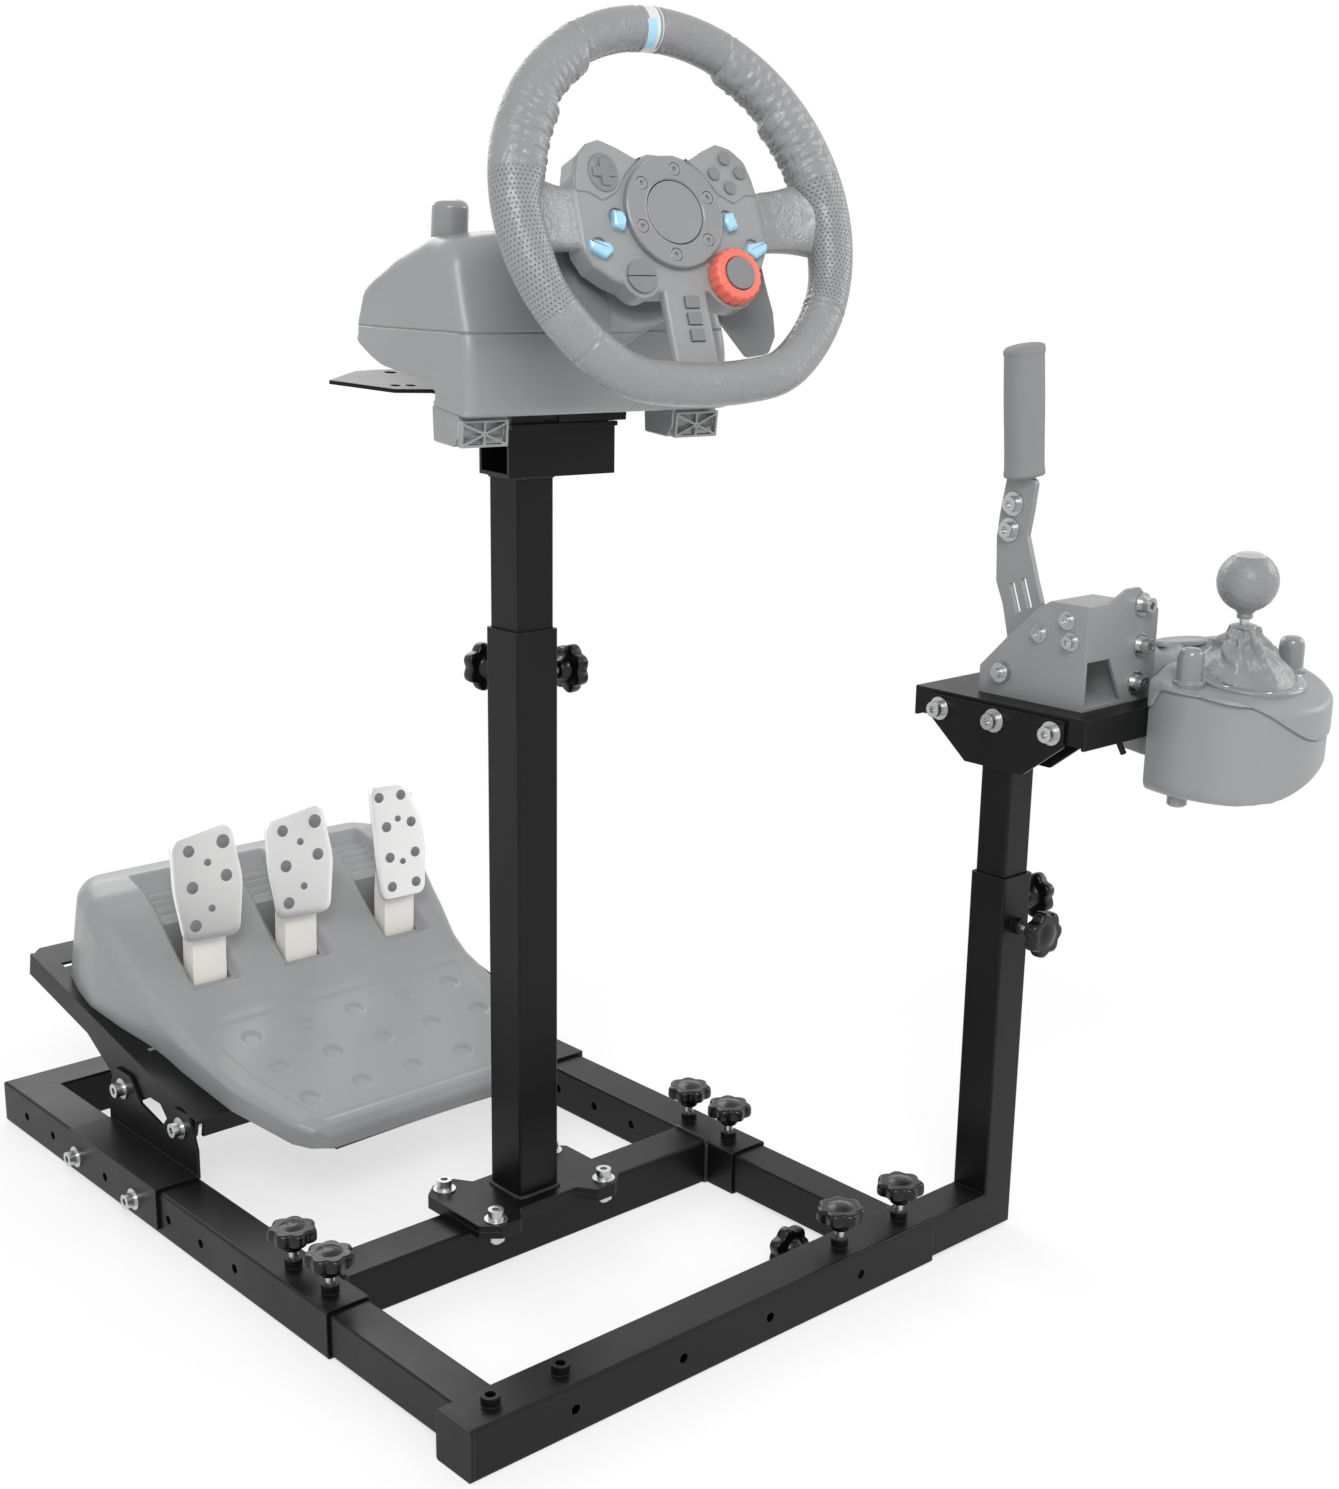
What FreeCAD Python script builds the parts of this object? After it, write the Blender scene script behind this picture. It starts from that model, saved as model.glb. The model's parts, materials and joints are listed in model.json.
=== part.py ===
import FreeCAD, Part
import os
from math import sin, cos, tan, pi, radians, degrees, sqrt, atan2, hypot

os.makedirs("parts", exist_ok=True)

# Racing cockpit stand with wheel, pedals, gear shifter and handbrake.
# Millimetres. X is the driver's right, Y is forward to the pedals, Z is up.
# The origin is on the floor under the main column.

# Floor frame
tube = 40.0                # outer square tube of the frame
wall = 2.0                 # wall of every square tube
slip = 0.5                 # play between a sliding tube and its sleeve, per side
rail = tube - 2 * wall - 2 * slip      # tube that slides in the frame tubes
post = rail - 2 * wall - 2 * slip      # tube that slides in the shifter post
half_track = 210.0         # side tube centre from the middle
side_front = -53.0         # front end of the side tubes
side_rear = 503.0          # rear face of the rear tube
front_y = -228.0           # centre line of the front tube
front_left = -242.0
front_right = 233.0
rail_end = 104.0           # hidden rear end of the front rails
rail_hole_pitch = 53.6
rail_hole_first = 81.0
rail_hole_count = 8
rail_hole_r = 4.0
knob_rear_y = 24.0         # knobs behind and before the cross beam
knob_front_y = -28.0
front_hole_x = (-150.0, -47.0, 43.0, 145.0)
front_nut_x = (-210.0, -148.0, 140.0, 211.0)
side_knob_x = 132.0        # knob on the rear face of the front tube

# Main column
plate_t = 5.5
plate_half_x = 74.0
plate_half_y = 47.0
bolt_x = 57.0
bolt_y = 35.0
column_top = 523.0
head_z = 641.0             # underside of the channel
inner_bottom = 330.0       # hidden foot of the inner tube

# Wheel head, turned on the column
head_yaw = -8.6
plate_tilt = 6.0
channel_x0 = -26.0
channel_x1 = 66.0
channel_y0 = -27.5
channel_y1 = 18.5
channel_h = 36.0
wheel_y = -207.8           # wheel centre before the column
wheel_z = 829.0
wheel_tilt = 20.2
rim_r = 122.5              # centre line radius of the rim
rim_tube = 14.5

# Pedal tray
tray_half = 188.0
tray_y = 207.4             # front edge of the tray
tray_z = 90.7
tray_tilt = 11.9
tray_len = 320.0
tray_flange = 22.0
bracket_y0 = 203.0
bracket_y1 = 360.0
bracket_bolt_y = (250.0, 358.0 - 8.0)
tilt_bolt = ((332.0, 80.0), (228.0, 78.6))

# Shifter post and tray
post_x = 319.0
post_top = 317.0
stand_top = 461.0          # top face of the shifter tray
stand_bottom = 150.0       # hidden foot of the inner post
stand_y0 = -313.0
stand_y1 = -143.0
stand_x1 = 520.0
stand_flange = 24.0
sheet = 3.0
pin_play = 0.05            # running play at a pin, all round

# Handbrake
hb_x = 350.0               # middle plane of the lever
hb_y = -214.6              # lever pivot
hb_half = 27.0             # half the width over the side sheets
hb_reach = 78.0            # front sheet before the pivot
ear_w = 93.0               # width of the front sheet with its ear
grip_r = 16.5
grip_len = 106.0

# Gear shifter
gs_yaw = -17.0
gs_x, gs_y = 449.0, -350.0
gs_half = 76.0             # half the housing's width
gs_nose = -74.0
gs_depth = 68.0            # housing below the tray's top
gs_slope = 0.15            # fall of the top towards the driver
ball_r = 24.0

# Wheel base and steering wheel
base_half = 108.0
base_crest = 138.0
nose_r = 54.0
nose_z = 58.0              # nose ends this far behind the rim's plane
shaft_r = 22.0
clamp_knob_r = 14.5
clamp_knob_x = 84.0
corner_r = 60.0            # lower corners of the rim
flat_r = 300.0             # flat foot of the rim
a_low = -55.0
hub_half = 70.0
hub_front = 8.0            # hub face behind the rim's plane
hub_back = 26.0
hub_ring_r = 37.0
dial_r = 19.5
dial_x, dial_y = 38.0, -41.0

# Pedals
base_w = 183.0             # half the widest part of the pedal base
pedal_x = (-0.53 * base_w, 0.0, 0.612 * base_w)
arm_w = 17.0
pad_w = (33.0, 32.0, 31.0)
pad_h = (100.0, 92.0, 108.0)
pad_mid = (114.0, 116.0, 112.0)


def vec(x, y, z):
    return FreeCAD.Vector(x, y, z)


def matrix(o, x, y, z):
    return FreeCAD.Matrix(x[0], y[0], z[0], o[0], x[1], y[1], z[1], o[1],
                          x[2], y[2], z[2], o[2], 0, 0, 0, 1)


def put(shape, m):
    return shape.transformed(m, True)


def box(x0, x1, y0, y1, z0, z1):
    return Part.makeBox(x1 - x0, y1 - y0, z1 - z0, vec(x0, y0, z0))


def rod(r, p, d, h):
    return Part.makeCylinder(r, h, vec(*p), vec(*d))


def prism(points, axis, a, b):
    """Extrude a polygon given in the plane across the named axis."""
    if axis == "x":
        ps, d = [vec(a, u, v) for u, v in points], vec(b - a, 0, 0)
    elif axis == "y":
        ps, d = [vec(u, a, v) for u, v in points], vec(0, b - a, 0)
    else:
        ps, d = [vec(u, v, a) for u, v in points], vec(0, 0, b - a)
    return Part.Face(Part.makePolygon(ps + [ps[0]])).extrude(d)


def fuse(shapes):
    s = shapes[0]
    if len(shapes) > 1:
        s = s.multiFuse(shapes[1:])
    return s.removeSplitter()


def cut(s, tools):
    return s.cut(tools) if tools else s


def save(name, shapes):
    solids = []
    for s in (shapes if isinstance(shapes, (list, tuple)) else [shapes]):
        solids += s.Solids
    out = solids[0] if len(solids) == 1 else Part.makeCompound(solids)
    for s in solids:
        if not s.isValid() or s.Volume <= 0:
            raise ValueError("bad solid in " + name)
    out.exportStep("parts/" + name + ".step")
    print(name, len(solids), "solids", round(sum(s.Volume for s in solids) / 1000, 1), "cm3")


def round_edges(shape, r, pick):
    edges = [e for e in shape.Edges if pick(e)]
    return shape.makeFillet(r, edges) if edges else shape


def along(e, axis):
    if len(e.Vertexes) != 2:
        return False
    d = e.Vertexes[1].Point - e.Vertexes[0].Point
    k = {"x": 0, "y": 1, "z": 2}[axis]
    return d.Length > 1e-6 and abs(abs(d[k]) - d.Length) < 1e-6


def square_tube(size, axis, a, b, cx, cy, w=wall, corner=2.5):
    """Square tube along an axis; cx and cy are its centre across the axis."""
    h = size / 2
    i = h - w
    if axis == "x":
        o, c = box(a, b, cx - h, cx + h, cy - h, cy + h), box(a - 1, b + 1, cx - i, cx + i, cy - i, cy + i)
    elif axis == "y":
        o, c = box(cx - h, cx + h, a, b, cy - h, cy + h), box(cx - i, cx + i, a - 1, b + 1, cy - i, cy + i)
    else:
        o, c = box(cx - h, cx + h, cy - h, cy + h, a, b), box(cx - i, cx + i, cy - i, cy + i, a - 1, b + 1)
    o = round_edges(o, corner, lambda e: along(e, axis))
    return o.cut(c)


# Knob, stud and nut, standing along +Z from z = 0 on a tube face
nut_r, nut_h, stud_r = 7.0, 7.0, 4.0
knob_r, knob_base, knob_h = 20.0, 20.0, 17.0


def knob_head():
    lobes = 7
    core = rod(knob_r * 0.72, (0, 0, knob_base), (0, 0, 1), knob_h - 4)
    tips = [rod(knob_r * 0.24, (cos(2 * pi * k / lobes) * knob_r * 0.76,
                                sin(2 * pi * k / lobes) * knob_r * 0.76, knob_base), (0, 0, 1), knob_h - 5)
            for k in range(lobes)]
    dome = Part.makeCone(knob_r * 0.62, knob_r * 0.42, 4.0, vec(0, 0, knob_base + knob_h - 4))
    skirt = rod(knob_r * 0.42, (0, 0, knob_base - 6), (0, 0, 1), 6)
    return fuse([core] + tips + [dome, skirt])


def knob_stud(reach):
    return rod(stud_r, (0, 0, -reach), (0, 0, 1), reach + knob_base - 6)


def weld_nut():
    return rod(nut_r, (0, 0, 0), (0, 0, 1), nut_h).cut(rod(stud_r, (0, 0, -1), (0, 0, 1), nut_h + 2))


def up_at(x, y, z):
    return matrix((x, y, z), (1, 0, 0), (0, 1, 0), (0, 0, 1))


def out_at(p, d):
    """Frame whose Z points along d."""
    zx = d
    xx = (0, 1, 0) if abs(d[1]) < 0.5 else (1, 0, 0)
    yx = (zx[1] * xx[2] - zx[2] * xx[1], zx[2] * xx[0] - zx[0] * xx[2], zx[0] * xx[1] - zx[1] * xx[0])
    return matrix(p, xx, yx, zx)


def cap_bolt(r, head_h, shank, washer=0.0, grip=0.0, nut=True):
    """Socket cap bolt whose head sits on z = 0 and whose shank runs down."""
    head = rod(r * 1.6, (0, 0, washer), (0, 0, 1), head_h)
    socket = rod(r * 0.75, (0, 0, washer + head_h * 0.45), (0, 0, 1), head_h)
    parts = [head.cut(socket), rod(r, (0, 0, -shank), (0, 0, 1), shank + washer)]
    if washer:
        parts.append(rod(r * 2.4, (0, 0, 0), (0, 0, 1), washer))
    if nut:
        parts.append(rod(r * 1.8, (0, 0, -grip - r * 1.6), (0, 0, 1), r * 1.6))
    return fuse(parts)


# Base frame
half = tube / 2
zc = half
inset = 0.01
mitre = 700.0


def side_tube(sx):
    cx = sx * half_track
    t = square_tube(tube, "y", side_front, side_rear, cx, zc)
    # mitre at the rear corner
    wedge = prism([(cx + sx * half, side_rear), (cx - sx * half, side_rear - tube),
                   (cx - sx * (half + 5), side_rear - tube - 5 + 5), (cx - sx * (half + 5), side_rear + 5),
                   (cx + sx * half, side_rear + 5)], "z", -1, tube + 1)
    t = t.cut(wedge)
    holes = [rod(rail_hole_r, (cx - half - 1, rail_hole_first + k * rail_hole_pitch, zc), (1, 0, 0), tube + 2)
             for k in range(rail_hole_count)]
    holes += [rod(stud_r, (cx, y, zc), (0, 0, 1), tube) for y in (knob_rear_y, knob_front_y)]
    t = t.cut(holes)
    return fuse([t] + [put(weld_nut(), up_at(cx, y, tube)) for y in (knob_rear_y, knob_front_y)])


save("left_side_tube", side_tube(-1))
save("right_side_tube", side_tube(1))
rear = square_tube(tube, "x", -half_track - half, half_track + half, side_rear - half, zc)
for sx in (-1, 1):
    cx = sx * half_track
    rear = rear.cut(prism([(cx + sx * half, side_rear), (cx - sx * half, side_rear - tube),
                           (cx + sx * half, side_rear - tube - 1), (cx + sx * (half + 5), side_rear - tube),
                           (cx + sx * (half + 5), side_rear)], "z", -1, tube + 1))
save("rear_cross_tube", rear)
save("cross_beam", square_tube(tube, "x", -half_track + half, half_track - half, 0, zc))


def bone(z0):
    w, h = plate_half_x, plate_half_y
    waist = 32.0
    right = [(30, -waist), (40, -h), (w - 14, -h), (w, -h + 12), (w, h - 12), (w - 14, h), (40, h), (30, waist)]
    left = [(-x, -y) for x, y in right]
    p = prism(right + left, "z", z0, z0 + plate_t)
    p = round_edges(p, 3.0, lambda e: along(e, "z"))
    return p.cut([rod(stud_r, (sx * bolt_x, sy * bolt_y, z0 - 1), (0, 0, 1), plate_t + 2)
                  for sx in (-1, 1) for sy in (-1, 1)])


column_foot = tube + 2 * plate_t
save("foot_plates", [bone(tube), bone(tube + plate_t)])
column = square_tube(tube, "z", column_foot, column_top, 0, 0)
column_knob_z = 485.0
column = column.cut([rod(stud_r, (0, 0, column_knob_z), (0, 1, 0), tube),
                     rod(stud_r, (0, 0, column_knob_z), (1, 0, 0), tube)])
column_knobs = [out_at((0, half, column_knob_z), (0, 1, 0)), out_at((half, 0, column_knob_z), (1, 0, 0))]
save("column_tube", fuse([column] + [put(weld_nut(), m) for m in column_knobs]))

knob_spots = [up_at(sx * half_track, y, tube) for sx in (-1, 1) for y in (knob_rear_y, knob_front_y)]
knob_spots += column_knobs
save("frame_knobs", [put(knob_head(), m) for m in knob_spots])
save("frame_studs", [put(knob_stud(wall + slip), m) for m in knob_spots])

# Pedal brackets: over the side tube, down its outside, up on its inside
bt = 3.0


def bracket(sx):
    xo = half_track + half
    xi = half_track - half
    outer = box(xo, xo + bt, bracket_y0, bracket_y1, 6.0, tube + bt)
    top = box(xi - 0.0, xo + bt, bracket_y0, bracket_y1, tube, tube + bt)
    up = [(bracket_y0, tube), (bracket_y0, 66), (214, 93), (240, 93), (262, 68), (300, 76), (318, 96),
          (344, 96), (bracket_y1, 70), (bracket_y1, tube)]
    upright = prism(up, "x", xi - 0.0, xi + bt)
    b = fuse([outer, top, upright])
    ys = [rail_hole_first + k * rail_hole_pitch for k in range(rail_hole_count)]
    hol = [rod(rail_hole_r, (xo - 1, y, zc), (1, 0, 0), bt + 2) for y in ys
           if bracket_y0 + 6 < y < bracket_y1 - 6]
    hol += [rod(stud_r, (xi - 5, y, z), (1, 0, 0), bt + 10) for y, z in tilt_bolt]
    b = b.cut(hol)
    if sx < 0:
        b = b.mirror(vec(0, 0, 0), vec(1, 0, 0))
    return b


save("pedal_brackets", [bracket(-1), bracket(1)])
bolts = []
for sx in (-1, 1):
    for sy in (-1, 1):
        bolts.append(put(cap_bolt(stud_r - 0.05, 8, 2 * plate_t + 9, 1.6, 2 * plate_t), up_at(sx * bolt_x, sy * bolt_y, column_foot)))
bolt_row = [rail_hole_first + k * rail_hole_pitch for k in (3, 5)]
for sx in (-1, 1):
    for y in bolt_row:
        bolts.append(put(cap_bolt(stud_r - 0.05, 8, tube + bt + 9, 1.6, tube + bt),
                         out_at((sx * (half_track + half + bt), y, zc), (sx, 0, 0))))
# Pedal tray, in its own tilted frame: X across, Y up the slope, Z out of the sheet
ct, st = cos(radians(tray_tilt)), sin(radians(tray_tilt))
TRAY = matrix((0, tray_y, tray_z), (1, 0, 0), (0, ct, st), (0, -st, ct))


def to_tray(y, z):
    dy, dz = y - tray_y, z - tray_z
    return dy * ct + dz * st, -dy * st + dz * ct


xi = half_track - half
th = xi - 0.4
tb = [to_tray(y, z) for y, z in tilt_bolt]
side_poly = [(0, 0), (0, -14), (8, -30), (24, -34), (40, -30), (60, -18), (78, -22), (104, -44), (124, -50),
             (140, -46), (150, -36), (196, -tray_flange), (tray_len - 6, -tray_flange), (tray_len - 6, 0)]
flanges = [prism(side_poly, "x", sx * th - (sheet if sx > 0 else 0), sx * th + (0 if sx > 0 else sheet)) for sx in (-1, 1)]
top = prism([(-th, 0), (th, 0), (th, tray_len - 10), (th - 12, tray_len), (-th + 12, tray_len), (-th, tray_len - 10)],
            "z", -sheet, 0)
front_fl = box(-th + 8, th - 8, 0, sheet, -18, 0)
rear_fl = box(-th + 14, th - 14, tray_len - sheet, tray_len, -18, 0)
slots = []
for sx in (-1, 1):
    for s in (118, 200, 282):
        slots.append(box(sx * 158 - 14, sx * 158 + 14, s - 4, s + 4, -sheet - 1, 1))
holes = [rod(stud_r, (-th - 5, u, v), (1, 0, 0), 2 * th + 10) for u, v in tb]
# curved slot round the front bolt, for the tilt
reach = hypot(tb[0][0] - tb[1][0], tb[0][1] - tb[1][1])
start = degrees(atan2(tb[0][1] - tb[1][1], tb[0][0] - tb[1][0]))
for k in range(-14, 11):
    a = radians(start + k * 0.5)
    holes.append(rod(stud_r + 0.1, (-th - 5, tb[1][0] + reach * cos(a), tb[1][1] + reach * sin(a)), (1, 0, 0), 2 * th + 10))
tray = fuse([top, front_fl, rear_fl] + flanges).cut(slots + holes)
save("pedal_tray", put(tray, TRAY))
for sx in (-1, 1):
    for y, z in tilt_bolt:
        bolts.append(put(cap_bolt(stud_r - 0.05, 8, 24, 1.6, bt + sheet + 0.4),
                              out_at((sx * (xi + bt), y, z), (sx, 0, 0))))
save("frame_bolts", bolts)

# Pedal unit: a wedge with a hump that carries the three arms in slots
prof = [(-86, 0), (-86, 11), (-76, 20), (96, 30), (120, 36), (206, 82), (238, 93), (272, 93), (304, 78), (328, 46), (328, 0)]
base = round_edges(prism(prof, "x", -base_w, base_w), 6.0, lambda e: along(e, "x") and e.BoundBox.ZMin > 5)
w0 = base_w
side_plan = [(w0 - 72, -86), (w0 - 53, -73), (w0 - 28, 0), (w0 - 18, 109), (w0, 200), (w0 - 6, 250), (w0 - 22, 284), (w0 - 60, 318),
             (w0 - 80, 328)]
plan = side_plan + [(-x, y) for x, y in reversed(side_plan)]
base = base.common(round_edges(prism(plan, "z", -1, 200), 9.0, lambda e: along(e, "z")))
crown = [(w0 + 1, -1), (w0 + 1, 62), (w0 - 8, 80), (w0 - 28, 96), (w0 - 28, 120)]
base = base.common(prism(crown + [(-x, z) for x, z in reversed(crown)], "y", -200, 400))
piv = (148.0, 18.0)
slot_y0, slot_y1 = 118.0, 200.0
slot_w = arm_w + 5
for px in pedal_x:
    base = base.cut(box(px - slot_w, px + slot_w, slot_y0, slot_y1, 6, 200))
for px in pedal_x:
    base = base.fuse(rod(5, (px - slot_w - 1, piv[0], piv[1]), (1, 0, 0), 2 * slot_w + 2))
base = base.removeSplitter()
save("pedal_base", put(base, TRAY))

lean = 10.0                # pedal arm leans back from the tray's normal
cl, sl = cos(radians(lean)), sin(radians(lean))


def pedal_frame(px):
    """Pedal frame: Z up the arm, Y forward, origin on the pivot."""
    return TRAY * matrix((px, piv[0], piv[1]), (1, 0, 0), (0, cl, -sl), (0, sl, cl))


names = ("clutch", "brake", "throttle")
for k in range(3):
    M = pedal_frame(pedal_x[k])
    up = pad_mid[k] + pad_h[k] / 2 - 8
    body = prism([(-9, -9), (9, -9), (9, 60), (0, up), (-5, up), (-9, 60)], "x", -arm_w, arm_w)
    hollow = prism([(-6, 14), (10, 14), (10, up + 1), (-1.5, up + 1), (-6, 60)], "x", -arm_w + 3, arm_w - 3)
    arm = body.cut([rod(5 + pin_play, (-30, 0, 0), (1, 0, 0), 60), hollow])
    save(names[k] + "_arm", put(arm, M))
    w, h = pad_w[k], pad_h[k]
    z0 = pad_mid[k]
    pad = box(-w, w, -12, -5.0, z0 - h / 2, z0 + h / 2)
    pad = round_edges(pad, 12.0, lambda e: along(e, "y"))
    pad = round_edges(pad, 1.5, lambda e: e.BoundBox.YMax < -11.9)
    nubs = [rod(5.0, (x * w * 0.55, -20, z0 + z * h * 0.36), (0, 1, 0), 10.5) for x, z in
            ((-1, 1), (1, 1), (-1, 0), (1, 0), (-1, -1), (1, -1), (0, 0.5), (0, -0.5))]
    pad = pad.cut(nubs + [body])
    save(names[k] + "_pad", put(pad, M))

# Front frame: slides in the side tubes
front = square_tube(tube, "x", front_left + sheet, front_right, front_y, zc)
front = front.cut([rod(rail_hole_r, (x, front_y - half - 1, zc), (0, 1, 0), half) for x in front_hole_x]
                  + [rod(stud_r, (x, front_y, zc), (0, 0, 1), tube) for x in front_nut_x]
                  + [rod(stud_r, (side_knob_x, front_y, zc), (0, 1, 0), tube)])
knob_m = [up_at(front_nut_x[k], front_y, tube) for k in (2, 3)]
knob_m.append(out_at((side_knob_x, front_y + half, zc), (0, 1, 0)))
nut_m = [up_at(front_nut_x[k], front_y, tube) for k in (0, 1)] + knob_m
save("front_tube", fuse([front] + [put(weld_nut(), m) for m in nut_m]))
cap = box(front_left, front_left + sheet, front_y - half, front_y + half, 0, tube)
save("front_end_cap", round_edges(cap, 2.5, lambda e: along(e, "x")))
rails = [square_tube(rail, "y", front_y + half, rail_end, sx * half_track, zc, wall, 2.0) for sx in (-1, 1)]
save("front_rails", rails)
save("front_knobs", [put(knob_head(), m) for m in knob_m])
save("front_studs", [put(knob_stud(wall + slip), m) for m in knob_m])

# Shifter post: a mitred elbow that slides in the front tube
rh = rail / 2
foot_in = 118.0            # hidden inner end of the foot
foot = square_tube(rail, "x", foot_in, post_x + rh, front_y, zc, wall, 2.0)
foot = foot.cut(prism([(post_x - rh, zc + rh), (post_x + rh, zc - rh), (post_x + rh + 5, zc - rh),
                       (post_x + rh + 5, zc + rh + 5), (post_x - rh, zc + rh + 5)], "y", front_y - 30, front_y + 30))
upr = square_tube(rail, "z", zc - rh, post_top, post_x, front_y, wall, 2.0)
upr = upr.cut(prism([(post_x - rh, zc + rh), (post_x + rh, zc - rh), (post_x + rh, zc - rh - 5),
                     (post_x - rh - 5, zc - rh - 5), (post_x - rh - 5, zc + rh)], "y", front_y - 30, front_y + 30))
post_knob_z = (275.0, 288.0)
upr = upr.cut([rod(stud_r, (post_x, front_y, post_knob_z[0]), (0, -1, 0), tube),
               rod(stud_r, (post_x, front_y, post_knob_z[1]), (1, 0, 0), tube)])
pm = [out_at((post_x, front_y - rh, post_knob_z[0]), (0, -1, 0)), out_at((post_x + rh, front_y, post_knob_z[1]), (1, 0, 0))]
save("post_tube", fuse([foot, upr] + [put(weld_nut(), m) for m in pm]))
save("post_knobs", [put(knob_head(), m) for m in pm])
save("post_studs", [put(knob_stud(wall + slip), m) for m in pm])

# Shifter stand: slides in the post
ph = post / 2
stand_under = stand_top - sheet
bolt_z = stand_top - 14.0
inner_post = square_tube(post, "z", stand_bottom, stand_under, post_x, front_y, 1.8, 2.0)
inner_post = inner_post.cut(rod(stud_r, (post_x, front_y, bolt_z), (-1, 0, 0), 30))
save("stand_tube", inner_post)
stand_bolt_y = (front_y - 56, front_y, front_y + 56)
plate = [(stand_y0 + 18, stand_top - 3), (stand_y0 + 18, stand_top - 24), (front_y - 30, stand_top - 53),
         (front_y + 28, stand_top - 53), (front_y + 66, stand_top - 22), (front_y + 66, stand_top - 3)]
fx = post_x - ph
fl = 22.0
xa, xb = fx - sheet, fx - 2 * sheet
hole = [rod(stud_r, (fx - 20, y, bolt_z), (1, 0, 0), 20 + sheet) for y in stand_bolt_y]
lp = prism(plate, "x", xb, xa).cut(hole)
rp = prism([(y, min(z, stand_under)) for y, z in plate], "x", post_x + ph, post_x + ph + sheet)
spacer = box(xa, fx, front_y - 12, front_y + 12, stand_top - 53, stand_top - fl)
save("stand_plates", [fuse([lp, spacer]), rp])
top = box(xa, stand_x1, stand_y0, stand_y1, stand_under, stand_top)
lf = box(xa, fx, stand_y0, stand_y1, stand_top - fl, stand_top)
ff = box(xa, stand_x1, stand_y0, stand_y0 + sheet, stand_top - stand_flange, stand_top)
rf = box(xa, stand_x1, stand_y1 - sheet, stand_y1, stand_top - stand_flange, stand_top)
stray = fuse([top, lf, ff, rf]).cut(hole)
for k in range(5):
    for y in (-190, -265):
        stray = stray.cut(box(392 + k * 24, 398 + k * 24, y - 20, y + 20, stand_under - 1, stand_top + 1))
stay = rod(2.5, (348, stand_y0 + 14, stand_under), (0.35, -0.25, -0.9), 36)
save("stand_tray", fuse([stray, stay]))
sb = [put(cap_bolt(stud_r - 0.05, 8, 3 * sheet if y == front_y else 16, 2.0, 2 * sheet, y != front_y),
          out_at((xb, y, bolt_z), (-1, 0, 0))) for y in stand_bolt_y]
save("stand_bolts", sb)

# Handbrake on the stand tray: a bent sheet frame, a lever and its grip
hz = stand_top
hb_l, hb_r = hb_x - hb_half, hb_x + hb_half      # outer faces of the two side sheets
hb_f = hb_y - hb_reach                            # front face of the bent front sheet
piv_y, piv_z = hb_y, hz + 20.0                    # lever pivot


def hb_pt(points):
    return [(hb_y + u, hz + v) for u, v in points]


side_sheet = hb_pt([(24, 0), (24, 22), (-2, 49), (-30, 76), (-42, 83), (-hb_reach, 83), (-hb_reach, 0)])
sheets = [prism(side_sheet, "x", hb_l, hb_l + sheet), prism(side_sheet, "x", hb_r - sheet, hb_r)]
sheets.append(box(hb_l, hb_r, hb_f, hb_y - 42, hz + 83 - sheet, hz + 83))
ear = [(hb_l, 39), (hb_l, 83), (hb_l + 28, 83), (hb_l + 50, 92), (hb_l + 65, 92), (hb_l + 80, 81), (hb_l + ear_w, 72),
       (hb_l + ear_w, 0), (hb_l + 52, 0), (hb_l + 33, 37), (hb_l + 33, 39)]
sheets.append(prism([(x, hz + z) for x, z in ear], "y", hb_f, hb_f + sheet))
sheets.append(box(hb_l, hb_l + ear_w, hb_f, hb_y + 24, hz, hz + sheet))
hframe = fuse(sheets)
hframe = hframe.cut([box(hb_l + 10 + 12 * k, hb_l + 15 + 12 * k, hb_f + 12, hb_f + 40, hz - 1, hz + sheet + 1) for k in (0, 1, 5)])
hpin = rod(stud_r, (hb_l - 12, piv_y, piv_z), (1, 0, 0), hb_r - hb_l + 16)
save("handbrake_frame", hframe.cut(hpin))
hw = 2 * stud_r
hpin = fuse([hpin, rod(hw, (hb_l - 6, piv_y, piv_z), (1, 0, 0), 6), rod(hw, (hb_r, piv_y, piv_z), (1, 0, 0), 4)])
save("handbrake_pin", hpin)
socket = []
for u, v, head in ((-33, 56, 4.0), (-59, 70, 4.0), (-64, 54, 6.0)):
    socket.append(put(cap_bolt(3.0, head, sheet, 1.2, 0, False), out_at((hb_l, hb_y + u, hz + v), (-1, 0, 0))))
for x, v in ((hb_l + 70, 78), (hb_l + 72, 45), (hb_l + 68, 15)):
    socket.append(put(cap_bolt(stud_r, 8.0, sheet, 1.6, 0, False), out_at((x, hb_f, hz + v), (0, -1, 0))))
# the lever is a flat bar with two slots, held by two bolts to a second bar inside the grip
lean_h = 4.4
blade = hb_pt([(11, 9), (18, 46), (24, 69), (32, 87), (34, 123), (32, 143), (27, 172), (-2, 172), (1, 146), (4, 127),
               (-8, 91), (-14, 75), (-18, 46), (-12, 9), (-6, 6), (6, 6)])
blade = prism(blade, "x", hb_x - 2.5, hb_x + 2.5)
blade = round_edges(blade, 4.0, lambda e: along(e, "x"))
bores = [rod(stud_r + pin_play, (hb_x - 10, piv_y, piv_z), (1, 0, 0), 20)]
for u, v in ((12, 76), (1, 81)):
    s = box(hb_x - 10, hb_x + 10, -2.6, 2.6, -12, 12)
    s.rotate(vec(0, 0, 0), vec(1, 0, 0), -20)
    s.translate(vec(0, hb_y + u, hz + v))
    bores.append(s)
blade = blade.cut(bores)
gax = (0, sin(radians(lean_h)), cos(radians(lean_h)))
core = rod(grip_r * 0.6, (hb_x, hb_y + 12.5, hz + 171), gax, 8)
save("handbrake_arm", blade.fuse(core))
arm_bolts = [put(cap_bolt(stud_r, 6.0, 2.5, 1.6, 0, False), out_at((hb_x - 2.5, hb_y + u, hz + v), (-1, 0, 0)))
             for u, v in ((18.5, 151), (21, 130))]
socket_arm = [b.cut(blade) for b in arm_bolts]
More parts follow.
